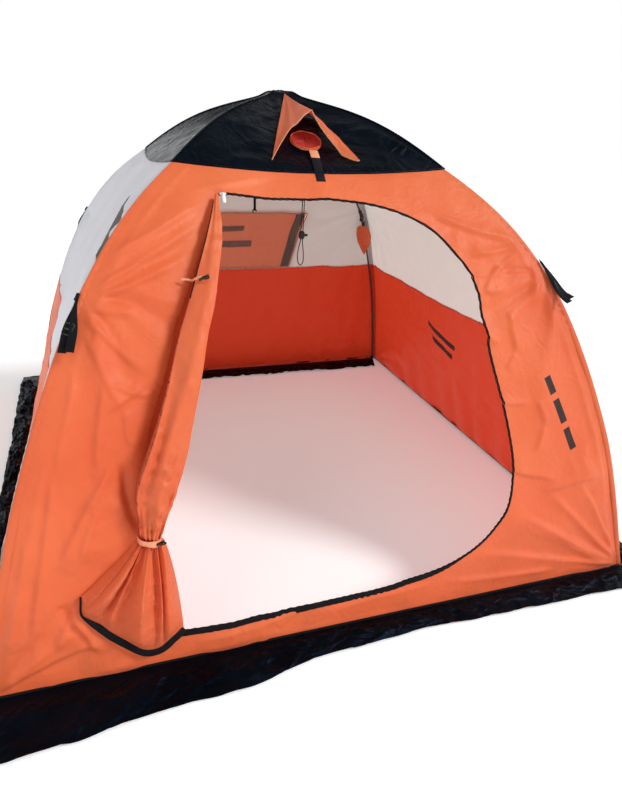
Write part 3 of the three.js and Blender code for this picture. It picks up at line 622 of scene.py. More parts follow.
WAVE_SCALE = math.pi / 10  # a wave texture's bands are pi / 10 over its scale apart
THREADS_PER_METRE = 900
SOIL = rgb(96, 74, 60)
COLD_GLINT = rgb(130, 166, 222)
FLOOR_GLOW = 0.22


def woven(shader, place, threads_per_metre, depth, under=None):
    """Plain weave: warp and weft ridges that take turns on top."""
    scale = threads_per_metre * WAVE_SCALE
    warp = shader.wave(place, scale, "X")
    weft = shader.wave(place, scale, "Y")
    return shader.bump(shader.math("MULTIPLY", warp, weft), depth, 0.6, under)


def cloth_material(name, colour, deep_and_shade, roughness, through, soil, inside_shade=None, bars=(), ink=None):
    """Thin coated polyester: weave, fine creases, soft changes of tone, painted shade that darkens it towards
    the bottom, soiled near the ice, and back faces, where a colour for them is given, painted darker as
    painted shade of the dim inside.
    """
    m = Shader(name)
    flat, place = m.cloth_place(), m.object_place()
    tone = m.ramp(m.noise(place, 2.3, 4), 0.3, 0.7)
    slub = m.ramp(m.noise(flat, 60.0, 2), 0.35, 0.65)
    base = m.mix(tone, colour, deep_and_shade)
    base = m.mix(m.math("MULTIPLY", slub, 0.10), base, deep_and_shade)
    height = m.node("ShaderNodeSeparateXYZ", {0: place}).outputs["Z"]
    # painted shade: the cloth is darkened towards the bottom, lighter at the top as the light falls from
    # above
    base = m.mix(m.ramp(height, 0.0, 0.85, 0.55, 0.0), base, deep_and_shade)
    low = m.ramp(height, 0.02, 0.26, 1.0, 0.0)
    dirt = m.math("MULTIPLY", low, m.ramp(m.noise(place, 9.0, 5), 0.42, 0.72))
    base = m.mix(m.math("MULTIPLY", dirt, soil), base, SOIL)
    # back faces painted a darker colour where one is given: painted shade of the dim inside of the canopy
    if inside_shade:
        base = m.mix(m.node("ShaderNodeNewGeometry").outputs["Backfacing"], base, inside_shade)
    for start, end, width in bars:
        base = m.mix(m.bar(flat, start, end, width), base, ink)
    rough = m.ramp(m.noise(place, 14.0, 3), 0.3, 0.7, roughness - 0.07, roughness + 0.07)
    normal = m.bump(m.creased(flat, 17.0, 5.0, 0.52, 0.9), 0.0099, 0.55)
    normal = woven(m, flat, THREADS_PER_METRE, 0.00022, normal)
    return m.finish(base, rough, normal, specular=0.35, sheen=0.08, through=through)


def film_material(name, colour, glint, roughness, crinkle):
    """Coated black cloth that shines where it creases."""
    m = Shader(name)
    flat, place = m.cloth_place(), m.object_place()
    tone = m.ramp(m.noise(place, 6.0, 5), 0.35, 0.7)
    base = m.mix(tone, colour, glint)
    rough = m.ramp(m.noise(place, 11.0, 4), 0.3, 0.7, roughness - 0.1, roughness + 0.12)
    normal = m.bump(m.creased(flat, 9.0, 2.6, 0.5, 1.4), crinkle, 0.8)
    normal = woven(m, flat, THREADS_PER_METRE, 0.0002, normal)
    m.surface.inputs["Specular Tint"].default_value = COLD_GLINT
    return m.finish(base, rough, normal, specular=0.13)


def webbing_material(name, colour, light, ribs=420):
    m = Shader(name)
    flat, place = m.cloth_place(), m.object_place()
    rib = m.wave(flat, ribs * WAVE_SCALE, "Y")
    twill = m.wave(flat, ribs * WAVE_SCALE, "DIAGONAL")
    base = m.mix(m.math("MULTIPLY", rib, 0.35), colour, light)
    base = m.mix(m.ramp(m.noise(place, 25.0), 0.45, 0.8, 0.0, 0.35), base, light)
    normal = m.bump(m.math("ADD", rib, m.math("MULTIPLY", twill, 0.6)), 0.0005, 0.8)
    rough = m.ramp(m.noise(place, 40.0), 0.3, 0.7, 0.6, 0.85)
    return m.finish(base, rough, normal, specular=0.12, sheen=0.02)


def net_material():
    """Fine mesh: threads with clear holes between them, soft enough to read as a haze from afar."""
    m = Shader("netting_mesh")
    flat, place = m.cloth_place(), m.object_place()
    across = m.wave(flat, 500 * WAVE_SCALE, "X")
    along = m.wave(flat, 500 * WAVE_SCALE, "Y")
    thread = m.ramp(m.math("MAXIMUM", across, along), 0.35, 0.75)
    colour = m.mix(m.noise(place, 30.0), rgb(150, 144, 136), rgb(186, 180, 170))
    clear = m.node("ShaderNodeBsdfTransparent")
    m.finish(colour, 0.8, m.bump(thread, 0.0003), specular=0.2)
    m.blend_surface(m.ramp(thread, 0.0, 1.0, 0.06, 0.42), clear, m.surface)
    return m.material


def moulded_material(name, colour, light, roughness, grain=180.0, metallic=0.0):
    """Moulded or drawn parts: fine grain, rubbed lighter in places."""
    m = Shader(name)
    place = m.object_place()
    rub = m.ramp(m.noise(place, 22.0, 5), 0.5, 0.78, 0.0, 0.6)
    base = m.mix(rub, colour, light)
    rough = m.ramp(m.noise(place, 35.0, 3), 0.3, 0.7, roughness - 0.08, roughness + 0.12)
    normal = m.bump(m.noise(place, grain, 2), 0.0003, 0.5)
    return m.finish(base, rough, normal, specular=0.45, metallic=metallic)


def rod_material():
    """Pultruded glass-fibre rod: long fine streaks under a satin skin."""
    m = Shader("glass_fibre")
    place = m.object_place()
    streak = m.node("ShaderNodeMapping", {"Vector": place, "Scale": (220.0, 220.0, 6.0)}).outputs[0]
    lines = m.noise(streak, 1.0, 3)
    base = m.mix(m.ramp(lines, 0.4, 0.7), rgb(40, 42, 44), rgb(66, 68, 70))
    return m.finish(base, m.ramp(lines, 0.3, 0.7, 0.3, 0.48), m.bump(lines, 0.0002, 0.4), specular=0.5)


def floor_material():
    """White sweep that glows a little, so that shadows on it stay pale."""
    m = Shader("pale_floor")
    place = m.object_place()
    base = m.mix(m.ramp(m.noise(place, 0.8, 3), 0.3, 0.7), rgb(250, 250, 250), rgb(246, 246, 247))
    m.surface.inputs["Emission Color"].default_value = (1, 1, 1, 1)
    m.surface.inputs["Emission Strength"].default_value = FLOOR_GLOW
    return m.finish(base, 0.75, None, specular=0.2)


# Plain printed bars: start and end as (x, height), width.
def printed(bars):
    return [((a[0], float(s_at(a[1]))), (b[0], float(s_at(b[1]))), width) for a, b, width in bars]


FRONT_BARS = printed([((0.660, 0.680), (0.684, 0.627), 0.026), ((0.692, 0.609), (0.724, 0.536), 0.026),
                      ((0.732, 0.518), (0.762, 0.450), 0.026)])
LEFT_BARS = printed([((0.360, 1.150), (0.560, 1.105), 0.050), ((0.500, 1.085), (0.690, 1.035), 0.045)])
RIGHT_BARS = printed([((0.230, 0.510), (-0.010, 0.455), 0.030), ((0.200, 0.445), (0.020, 0.400), 0.030)])
FLAP_BARS = printed([((-0.060, 0.886), (0.100, 0.886), 0.034), ((-0.110, 0.800), (0.170, 0.800), 0.040)])
# colours for the cloth's back faces: painted shade of the dim inside, for the orange and for the white cloth
INSIDE_SHADE = rgb(224, 70, 36)
PALE_INSIDE_SHADE = rgb(222, 217, 210)
BLACK_INK = rgb(5, 5, 7)
GREY_INK = rgb(78, 80, 68)


def orange_cloth(name, bars=()):
    bright, deep_and_shade = rgb(238, 126, 76), rgb(225, 99, 54)
    return cloth_material(name, bright, deep_and_shade, 0.44, 0.24, 0.22, INSIDE_SHADE, bars, BLACK_INK)


def white_cloth(name, bars=()):
    pale, deep_and_shade = rgb(230, 244, 252), rgb(218, 231, 239)
    return cloth_material(name, pale, deep_and_shade, 0.55, 0.42, 0.2, PALE_INSIDE_SHADE, bars, GREY_INK)


ORANGE = orange_cloth("orange_polyester")
PRINTED_FRONT = orange_cloth("orange_polyester_front", FRONT_BARS)
PRINTED_RIGHT = orange_cloth("orange_polyester_right", RIGHT_BARS)
WHITE = white_cloth("white_polyester")
PRINTED_LEFT = white_cloth("white_polyester_left", LEFT_BARS)
FLAP = cloth_material("thin_orange_polyester", rgb(240, 120, 74), rgb(232, 104, 60), 0.5, 0.55, soil=0.1,
                      bars=FLAP_BARS, ink=rgb(70, 14, 10))
# dark red painted shade for the sleeve's inner cloth, seen down in the vent
SLEEVE_INSIDE_SHADE = cloth_material("sleeve_inside_shade", rgb(176, 34, 22), rgb(158, 26, 18), 0.5, 0.0, soil=0.0)
BINDING = webbing_material("beige_binding", rgb(150, 138, 122), rgb(168, 158, 142), 700)
ROOF = film_material("black_roof_cloth", rgb(3, 6, 11), rgb(8, 14, 22), 0.27, 0.016)
SKIRT = film_material("black_skirt_cloth", rgb(2, 3, 6), rgb(6, 9, 15), 0.28, 0.018)
WEBBING = webbing_material("black_webbing", rgb(10, 10, 12), rgb(27, 29, 34))
TIE_CORD = webbing_material("pale_orange_tie", rgb(238, 150, 112), rgb(248, 180, 146), 900)
NET = net_material()
NYLON = moulded_material("black_nylon", rgb(20, 20, 22), rgb(52, 52, 55), 0.42)
PALE_PLASTIC = moulded_material("pale_zip_plastic", rgb(222, 222, 218), rgb(240, 240, 238), 0.4)
STEEL = moulded_material("plated_steel", rgb(168, 170, 174), rgb(206, 208, 210), 0.3, 300.0, 1.0)
RUBBER = moulded_material("foot_rubber", rgb(24, 24, 25), rgb(62, 61, 60), 0.8)
ROD = rod_material()


# ---- placing pieces
def place(piece, material, slot, body="canopy", replaces=(), folds=True):
    """Gives a finished piece its material and its body, and hides the CAD nodes that it stands for."""
    if material is not None:
        piece.data.materials.clear()
        piece.data.materials.append(material)
    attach(piece, body)
    if replaces:
        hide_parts(*replaces)
    if folds:
        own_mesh(piece)
    return piece


# ---- vent draw cord and its lock
CORD_RADIUS = 0.0016
CORD_ROUTE = [
    (-0.0254, -0.352, 1.302), (-0.0214, -0.352, 1.270), (-0.0164, -0.352, 1.225), (-0.0134, -0.352, 1.175),
    (-0.0134, -0.352, 1.110), (-0.0134, -0.352, 1.060), (-0.0134, -0.352, 1.041), (-0.0134, -0.352, 1.022),
    (-0.0184, -0.352, 1.000), (-0.0214, -0.352, 0.972), (-0.0174, -0.352, 0.950), (-0.0090, -0.352, 0.941),
    (-0.0016, -0.352, 0.950), (-0.0006, -0.352, 0.972), (-0.0036, -0.352, 1.000), (-0.0066, -0.352, 1.022),
    (-0.0066, -0.352, 1.041), (-0.0066, -0.352, 1.060), (-0.0066, -0.352, 1.110), (-0.0066, -0.352, 1.175),
    (-0.0036, -0.352, 1.225), (0.0014, -0.352, 1.270), (0.0054, -0.352, 1.302),
]


def smooth_path(points, per_span=6):
    """Centripetal Catmull-Rom through the points."""
    points = np.asarray(points, float)
    ends = np.vstack([2 * points[0] - points[1], points, 2 * points[-1] - points[-2]])
    out = []
    for k in range(len(points) - 1):
        p = ends[k:k + 4]
        t = np.concatenate([[0], np.cumsum(np.linalg.norm(np.diff(p, axis=0), axis=1) ** 0.5)])
        for w in np.linspace(t[1], t[2], per_span, endpoint=False):
            a = [((t[i + 1] - w) * p[i] + (w - t[i]) * p[i + 1]) / (t[i + 1] - t[i]) for i in range(3)]
            b = [((t[i + 2] - w) * a[i] + (w - t[i]) * a[i + 1]) / (t[i + 2] - t[i]) for i in range(2)]
            out.append(((t[2] - w) * b[0] + (w - t[1]) * b[1]) / (t[2] - t[1]))
    out.append(points[-1])
    return np.array(out)


def cord_lock():
    """Barrel lock: a ribbed body with two flared ends and a sprung button at its side."""
    low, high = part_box("cord_lock")
    middle = Vector((CORD_ROUTE[11][0] - 0.001, CORD_ROUTE[0][1], (low.z + high.z) / 2))
    rings, turns = 13, 20
    tall = (high.z - low.z) / 2
    points = []
    for j in range(rings):
        v = 2 * j / (rings - 1) - 1
        radius = 0.0105 * (1 - 0.45 * abs(v) ** 3) * (1 + 0.05 * math.cos(9 * v))
        for i in range(turns):
            a = 2 * math.pi * i / turns
            aside, ahead = radius * math.cos(a), 0.72 * radius * math.sin(a)
            points.append((middle.x + aside, middle.y + ahead, middle.z + tall * v))
    faces = grid_faces(turns, rings, around=True)
    faces += [tuple(range(turns))[::-1], tuple((rings - 1) * turns + i for i in range(turns))]
    body = mesh_piece("lock_body", points, faces, [(p[0], p[2]) for p in points])
    path = [(middle.x + x, middle.y, middle.z) for x in (0.006, 0.010, 0.014, 0.0185, 0.0195, 0.020)]
    rounding = [1, 1, 1, 1, 0.86, 0.5]
    button = swept("lock_button", path, [(0, 0, 1)] * 6, round_section(0.0042, 14), widths=rounding)
    return joined("cord_lock_body", [body, button])


LOCK = place(cord_lock(), NYLON, "black_plastic", "cord_lock", ["cord_lock"])
CORD_PATH = smooth_path(CORD_ROUTE)
cord = swept("vent_draw_cord", CORD_PATH, [(0, 1, 0)] * len(CORD_PATH), round_section(CORD_RADIUS, 8))
place(cord, WEBBING, "webbing", "canopy", ["vent_cord"])


# ---- outlines on the walls
def bezier(a, b, c, d, steps=24):
    a, b, c, d = (np.array(p, float) for p in (a, b, c, d))
    t = np.linspace(0, 1, steps + 1)[1:, None]
    return list((1 - t) ** 3 * a + 3 * (1 - t) ** 2 * t * b + 3 * (1 - t) * t ** 2 * c + t ** 3 * d)


DOOR_HEAD = (-0.326, 1.188)
DOOR_SILL = 0.096
DOOR_HINGE = [  # the sewn side of the doorway, from the sill up to the head
    (-0.560, DOOR_SILL), (-0.600, 0.375), (-0.580, 0.535), (-0.558, 0.640), (-0.515, 0.751), (-0.477, 0.865),
    (-0.449, 0.935), (-0.417, 0.996), (-0.375, 1.089),
]


def door_zip_line():
    """The zipped edge of the doorway as (x, height): along the head, down the round side, along the sill."""
    head = [np.array(DOOR_HEAD), np.array((0, 1.178))]
    side = bezier((0, 1.178), (0.350, 1.166), (0.440, 1.030), (0.452, 0.830))
    side += bezier((0.452, 0.830), (0.460, 0.690), (0.536, 0.560), (0.534, 0.395))
    side += bezier((0.534, 0.395), (0.530, 0.150), (0.270, 0.100), (-0.020, DOOR_SILL))
    return head + side + [np.array(DOOR_HINGE[0])]


def on_cloth(line):
    """(x, height) points as (x, distance up the cloth)."""
    line = np.array(line)
    return np.stack([line[:, 0], s_at(line[:, 1])], -1)


DOOR_ZIP = on_cloth(door_zip_line())
DOOR_OUTLINE = np.vstack([DOOR_ZIP, on_cloth(DOOR_HINGE[1:])])
WINDOW_TOP, WINDOW_BOTTOM = (0.372, 0.975), (0.330, 0.668)
FLAP_TOP, FLAP_BOTTOM = (0.372, 0.986), (0.340, 0.655)
WINDOW_OUTLINE = on_cloth([(-WINDOW_TOP[0], WINDOW_TOP[1]), (-WINDOW_BOTTOM[0], WINDOW_BOTTOM[1]),
                           WINDOW_BOTTOM, WINDOW_TOP])
VENT_CENTRE_S = LENGTH - 0.366
VENT_RADIUS = 0.036
VENT_OUTLINE = [(VENT_RADIUS * math.cos(a), VENT_CENTRE_S + VENT_RADIUS * math.sin(a))
                for a in np.linspace(0, 2 * math.pi, 48, endpoint=False)]


# ---- canopy cloth
FRONT_SPACING, WALL_SPACING, ROOF_SPACING = 0.0068, 0.012, 0.008  # between points of the cloth's mesh


def hung_cloth(name, side, outline, holes, spacing, relief, nodes, material, slot,
               from_seams=False, rise=None):
    """One flat cut of cloth hung on the canopy's surface with its folds."""
    flat, triangles = cut_cloth(outline, holes, spacing)
    x, s = flat[:, 0], flat[:, 1]
    away = distance_to(flat, [np.array(hole) for hole in holes]) if holes else np.full(len(x), 1.0)
    if from_seams:
        away = np.minimum(away, np.abs(s - BAND_S))
    points = at_wall(side, x, s, relief(side, x, s, away))
    if rise:
        points[:, 2] += rise(x, s)
    cloth = mesh_piece(name, points, triangles, flat)
    place(cloth, material, slot, "canopy", nodes)


def front_out(x, s):
    """How far the front wall stands out at a point beside the doorway."""
    x, s = np.atleast_1d(x).astype(float), np.atleast_1d(s).astype(float)
    away = distance_to(np.stack([x, s], -1), [DOOR_OUTLINE])
    return wall_relief(0, x, s, away)


def make_walls():
    hung_cloth("front_wall_cloth", 0, wall_outline(HEM_S, seam_s), [DOOR_OUTLINE], FRONT_SPACING, wall_relief,
               ["wall_front"], PRINTED_FRONT, "orange_cloth")
    for side, name in ((1, "right"), (2, "back"), (3, "left")):
        holes = [WINDOW_OUTLINE] if name == "back" else []
        hung_cloth(f"{name}_wall_upper_cloth", side, wall_outline(BAND_S, seam_s), holes, WALL_SPACING,
                   wall_relief, [f"wall_{name}_upper"], PRINTED_LEFT if name == "left" else WHITE,
                   "pale_cloth", True)
        hung_cloth(f"{name}_wall_lower_cloth", side, wall_outline(HEM_S, BAND_S), [], WALL_SPACING,
                   wall_relief, [f"wall_{name}_lower"], PRINTED_RIGHT if name == "right" else ORANGE,
                   "orange_cloth", True)


def make_roof():
    for side, name in enumerate(SIDES):
        holes = [VENT_OUTLINE] if name == "front" else []
        hung_cloth(f"roof_{name}_cloth", side, roof_outline(), holes, ROOF_SPACING, roof_relief,
                   [f"roof_{name}"], ROOF, "roof_cloth", rise=roof_rise)


# ---- seams
TAPE_THICK = 0.0012
STRAP_THICK = 0.0016


def corner_section(radius=0.008, wing=0.014, thick=TAPE_THICK):
    """Cloth that wraps a corner pole: round in front, with two wings lying on the walls."""
    turns = np.linspace(-math.pi / 4, math.pi / 4, 7)
    bend = [(radius * math.sin(a), radius * math.cos(a) - radius * math.sqrt(2) + 0.0008) for a in turns]
    step = wing / math.sqrt(2)
    outer = [(bend[0][0] - step, bend[0][1] - step), *bend, (bend[-1][0] + step, bend[-1][1] - step)]
    inner = [(a * 0.97, b - thick) for a, b in reversed(outer)]
    return np.array(outer + inner)


def corner_path(k, low, high, steps, out=0.0):
    """Points and outward directions along one corner of the canopy, k counting from front right."""
    s = np.linspace(low, high, steps)
    half = half_at(s)
    angle = -math.pi / 4 + k * math.pi / 2
    direction = np.array([math.cos(angle), math.sin(angle), 0])
    z = height_at(s)
    dh, dz = direction_at(s)
    dh = dh * math.sqrt(2)
    size = np.hypot(dh, dz)
    normal = direction * (dz / size)[:, None] + np.array([0, 0, 1]) * (-dh / size)[:, None]
    path = direction * (half * math.sqrt(2))[:, None] + np.array([0, 0, 1]) * z[:, None]
    return path + normal * out, normal


def make_corner_seams():
    """A binding over each corner pole, as the wall beside it is coloured, and piping on the roof's ridges."""
    for k, label in enumerate(LABELS):
        spans = [(HEM_S, SEAM_S, ORANGE, "orange_cloth", "")]
        if label.startswith("back"):
            spans = [(HEM_S, BAND_S, ORANGE, "orange_cloth", "_lower"),
                     (BAND_S, SEAM_S, WHITE, "pale_cloth", "_upper")]
        for low, high, material, slot, part in spans:
            path, normal = corner_path(k, low, high, 90, 0.002)
            wander = 1 + 0.10 * value_noise(np.linspace(0, 9, 90), np.full(90, 0.5), k + 3)
            binding = swept(f"corner_binding_{label}{part}", path, normal, corner_section(), widths=wander)
            place(binding, material, slot)
        path, normal = corner_path(k, SEAM_S, LENGTH - 0.004, 60, 0.0010)
        s = np.linspace(SEAM_S, LENGTH - 0.004, 60)
        path[:, 2] += roof_rise(half_at(s), s)
        place(swept(f"roof_piping_{label}", path, normal, round_section(0.0028)), ROOF, "roof_cloth")


def around_canopy(level, steps, out):
    """A closed path round all four sides at a level up the cloth, which may depend on x."""
    path, normals = [], []
    for side in range(4):
        half = half_at(level(np.array([2.0]))[0])
        x = np.linspace(-half, half, steps, endpoint=False)
        s = level(x)
        path.append(at_wall(side, x, s, out))
        normals.append(wall_normal(side, s))
    return np.vstack(path), np.vstack(normals)


def make_level_seams():
    path, normals = around_canopy(seam_s, 70, 0.0015)
    place(swept("roof_seam_piping", path, normals, round_section(0.0034), closed=True), ROOF, "roof_cloth")
    path, normals = around_canopy(lambda x: np.full(len(x), HEM_S + 0.003), 90, 0.0012)
    place(swept("hem_tape", path, normals, tape_section(0.016, TAPE_THICK), closed=True), WEBBING, "webbing")
    for side, name in ((1, "right"), (2, "back"), (3, "left")):
        half = float(half_at(BAND_S)) - 0.012
        x = np.linspace(-half, half, 160)
        s = np.full(len(x), BAND_S)
        out = wall_relief(side, x, s, 0 * x) + 0.0006
        seam = wall_strip(f"band_seam_{name}", side, x, s, out, tape_section(0.009, TAPE_THICK))
        place(seam, ORANGE, "orange_cloth")


# ---- snow skirt
SKIRT_REACH = {  # how far the skirt lies out from the hem: side, places across it, reaches
    0: ((-1.0, -0.85, -0.66, -0.50, -0.30, -0.15, 0.20, 0.45, 0.70, 1.0),
        (0.165, 0.175, 0.160, 0.135, 0.120, 0.080, 0.064, 0.072, 0.082, 0.095)),
    1: ((-1.0, -0.4, 0.2, 1.0), (0.095, 0.120, 0.105, 0.110)),
    2: ((-1.0, -0.3, 0.4, 1.0), (0.110, 0.095, 0.125, 0.105)),
    3: ((-1.0, -0.2, 0.5, 1.0), (0.105, 0.078, 0.074, 0.165)),
}
SKIRT_LIFT = (0.020, 0.022, 0.024, 0.075)  # height of the crumples on each side
SKIRT_LENGTH, SKIRT_WIDTH = 8.6, 0.15  # of the whole sheet, cut flat
SKIRT_SIDE = 2.16  # about a quarter of that, which places the crumples and the weave along a side
STRIP_LENGTH, STRIP_WIDTH = 1.93, 0.105


def make_skirt():
    """Crumpled black sheet that is sewn to the hem and lies loose on the ground."""
    columns, rows = 1000, 26
    p, q = np.meshgrid(np.linspace(0, 4, columns, endpoint=False), np.linspace(0, 1, rows))
    side, across = np.floor(p), 2 * (p % 1) - 1
    around = p * SKIRT_SIDE
    reach = np.zeros_like(p)
    for k, (places, reaches) in SKIRT_REACH.items():
        reach = np.where(side == k, np.interp(across, places, reaches), reach)
    loose = smoothstep(0.05, 0.4, q)
    edge = 0.007 * value_noise(around / 0.19, 0 * q, 5) + 0.003 * value_noise(around / 0.06, 0 * q, 6)
    half = half_at(HEM_S) + 0.003 + reach * q + loose * q * edge
    lift = np.choose(side.astype(int), SKIRT_LIFT) * smoothstep(1.0, 0.90, np.abs(across))
    lift = lift + 0.016 * smoothstep(0.90, 1.0, np.abs(across))
    ridges = 0.5 + 0.5 * crumple(around, q * SKIRT_WIDTH, 0.055, 21, 4)
    swell = 0.5 + 0.5 * value_noise(around / 0.14, q / 0.7, 23)
    heap = np.clip(0.6 * ridges ** 2 + 0.7 * swell ** 2, 0, 1.2)
    z = HEM_Z + 0.006 - 0.012 * q + loose * lift * heap * (1 - 0.55 * q)
    slide = loose * 0.006 * value_noise(around / 0.05, q / 0.25, 31) * smoothstep(1.0, 0.95, np.abs(across))
    one_side = np.stack([across * half + slide, -half, np.maximum(z, 0.002)], -1)
    points = np.empty_like(one_side)
    for k in range(4):
        chosen = side == k
        points[chosen] = turned(one_side[chosen], k)
    flat = np.stack([around, q * SKIRT_WIDTH], -1).reshape(-1, 2)
    faces = grid_faces(columns, rows, around=True)
    skirt = mesh_piece("snow_skirt_sheet", points.reshape(-1, 3), faces, flat)
    place(skirt, SKIRT, "skirt_film", "canopy", ["snow_skirt"])


def make_inner_strip():
    """The skirt's inner edge, which lies on the floor inside along the back wall."""
    columns, rows = 240, 12
    u, q = np.meshgrid(np.linspace(-1, 1, columns), np.linspace(0, 1, rows))
    width = STRIP_WIDTH + 0.008 * value_noise(u * 7, 0 * u, 3)
    x = u * (0.978 - 0.030 * q)
    y = half_at(HEM_S) - 0.012 - width * q
    z = 0.010 * (1 - q) + 0.004 + 0.010 * smoothstep(0, 0.3, q) * np.clip(crumple(x, q * 0.1, 0.06, 91), 0, 1)
    points = np.stack([x, y, z], -1).reshape(-1, 3)
    flat = np.stack([x, q * 0.11], -1).reshape(-1, 2)
    strip = mesh_piece("skirt_inner_strip", points, grid_faces(columns, rows), flat)
    place(strip, SKIRT, "skirt_film")


def make_edge_strips():
    """White strips of the side walls that run down beside the two front poles."""
    for side, name in ((3, "left"), (1, "right")):
        toward_front = 1 if side == 3 else -1
        s = np.linspace(HEM_S + 0.003, BAND_S, 120)
        width = 0.052
        x = toward_front * (half_at(s) - 0.012 - width / 2)
        out = np.max([wall_relief(side, x + d, s, np.full(len(s), 1.0)) for d in (-0.024, 0, 0.024)], axis=0)
        strip = wall_strip(f"edge_strip_{name}", side, x, s, out + 0.0008, tape_section(width, TAPE_THICK))
        place(strip, WHITE, "pale_cloth")


# ---- doorway
def make_zip():
    """Zip tape along the doorway's edge, with its coil."""
    line = resampled(np.array(DOOR_ZIP), 0.010)
    stop = np.argmax(np.linalg.norm(line - DOOR_ZIP[-1], axis=1) < 1e-6) + 1
    line = line[:stop]
    direction = np.gradient(line, axis=0)
    direction /= np.linalg.norm(direction, axis=1)[:, None]
    beside = np.stack([-direction[:, 1], direction[:, 0]], -1)
    sill = smoothstep(0.16, 0.11, height_at(line[:, 1]))
    middle = line + beside * (0.003 + 0.004 * sill)[:, None]
    out = front_out(*middle.T) + 0.0012
    widths = 0.55 + 1.35 * sill
    tape = wall_strip("zip_tape", 0, *middle.T, out, tape_section(0.010, TAPE_THICK), widths=widths)
    rim = line + beside * -0.0015
    fine = resampled(rim, 0.0022)[:-1]
    fine = fine[: np.argmax(np.linalg.norm(fine - rim[-1], axis=1) < 1e-6) + 1]
    out = front_out(*fine.T) + 0.0018
    teeth = 1 + 0.35 * np.where(np.arange(len(fine)) % 2, 1, -1)
    coil = wall_strip("zip_coil", 0, *fine.T, out, round_section(0.0013, 6), widths=teeth)
    place(joined("door_zip_tape_and_coil", [tape, coil]), WEBBING, "webbing", "canopy", ["door_zip_tape"])


DOOR_ROLL = [  # height, middle, half-width and half-depth of the gathered panel above its lower tie
    (1.182, -0.331, 0.005, 0.005), (1.090, -0.353, 0.021, 0.010), (0.995, -0.385, 0.030, 0.015),
    (0.930, -0.407, 0.035, 0.019), (0.850, -0.437, 0.038, 0.021), (0.745, -0.467, 0.042, 0.023),
    (0.640, -0.500, 0.047, 0.025), (0.580, -0.521, 0.052, 0.027), (0.509, -0.548, 0.053, 0.027),
    (0.470, -0.559, 0.047, 0.025), (0.430, -0.567, 0.036, 0.022), (0.378, -0.577, 0.026, 0.018),
]
DOOR_TOP_Z = DOOR_ROLL[0][0]
DOOR_TIE_Z = DOOR_ROLL[-1][0]
DOOR_LAYERS = 15
DOOR_HEM = [  # the flared hem from the sewn edge to the zipped edge, as (x, height)
    (-0.757, 0.246), (-0.757, 0.205), (-0.741, 0.184), (-0.712, 0.156), (-0.680, 0.122), (-0.640, 0.088),
    (-0.600, 0.062), (-0.562, 0.064), (-0.532, 0.084), (-0.503, 0.104),
]
DOOR_HEM_PATH = smooth_path(np.array([(x, z, 0) for x, z in DOOR_HEM]))


def roll_at(z):
    """Middle, half-width and half-depth of the gathered panel at a height, smooth between its stations."""
    table = smooth_path(np.array(DOOR_ROLL), 8)[::-1]
    return [np.interp(z, table[:, 0], table[:, k]) for k in (1, 2, 3)]


def hinge_at(z):
    """Where the sewn side of the doorway runs at a height."""
    hinge = np.array([*DOOR_HINGE, DOOR_HEAD])
    return np.interp(z, hinge[:, 1], hinge[:, 0])


def rolled_points(v, z):
    """Above the lower tie: the cloth runs to and fro in flat layers, the last one outermost."""
    middle, half, depth = roll_at(z)
    run = v * DOOR_LAYERS
    zigzag = 2 * np.abs(((run + 1) % 2) - 1) - 1
    across = np.sign(zigzag) * np.abs(zigzag) ** 0.85
    shift = 0.10 * value_noise(np.floor(run), z / 0.2, 71) * (1 - v)
    outer = v ** 2
    crown = 0.55 * (1 - across ** 2) * v
    long_folds = 0.30 * np.sin(4.2 * across + 3.0 * value_noise(across, z / 0.3, 75)) * outer
    x = middle + half * across * (0.97 + shift)
    bunched = 1 + 1.2 * np.exp(-(((z - 0.50) / 0.10) ** 2))
    pulled = bunched * (crumple(x, z * 1.5, 0.085, 77) * 0.0070 + crumple(x, z, 0.03, 79) * 0.0020)
    near_tie = np.exp(-(z - DOOR_TIE_Z) / 0.10)
    gathers = 0.0045 * near_tie * np.sin(16 * across + 2 * value_noise(z / 0.05, 0 * z, 83))
    stand = -0.6 * depth + 2.0 * depth * v + depth * (crown + long_folds)
    stand = stand + outer * (pulled * (0.9 + near_tie) + gathers)
    behind = np.clip(1 - run, 0, 1)
    x = x + (hinge_at(z) - 0.004 - middle + 0.97 * half) * behind
    stand = stand - 0.012 * behind - 0.034 * np.sin(math.pi * behind) * smoothstep(1.18, 0.95, z)
    return at_wall(0, x, s_at(z), stand)


FLARE_LOBES = [  # folds of the flared hem: place across it, width, height
    (0.05, 0.060, 0.45), (0.21, 0.080, 0.75), (0.37, 0.045, 0.60), (0.57, 0.100, 1.00), (0.75, 0.045, 0.55),
    (0.91, 0.080, 0.80),
]


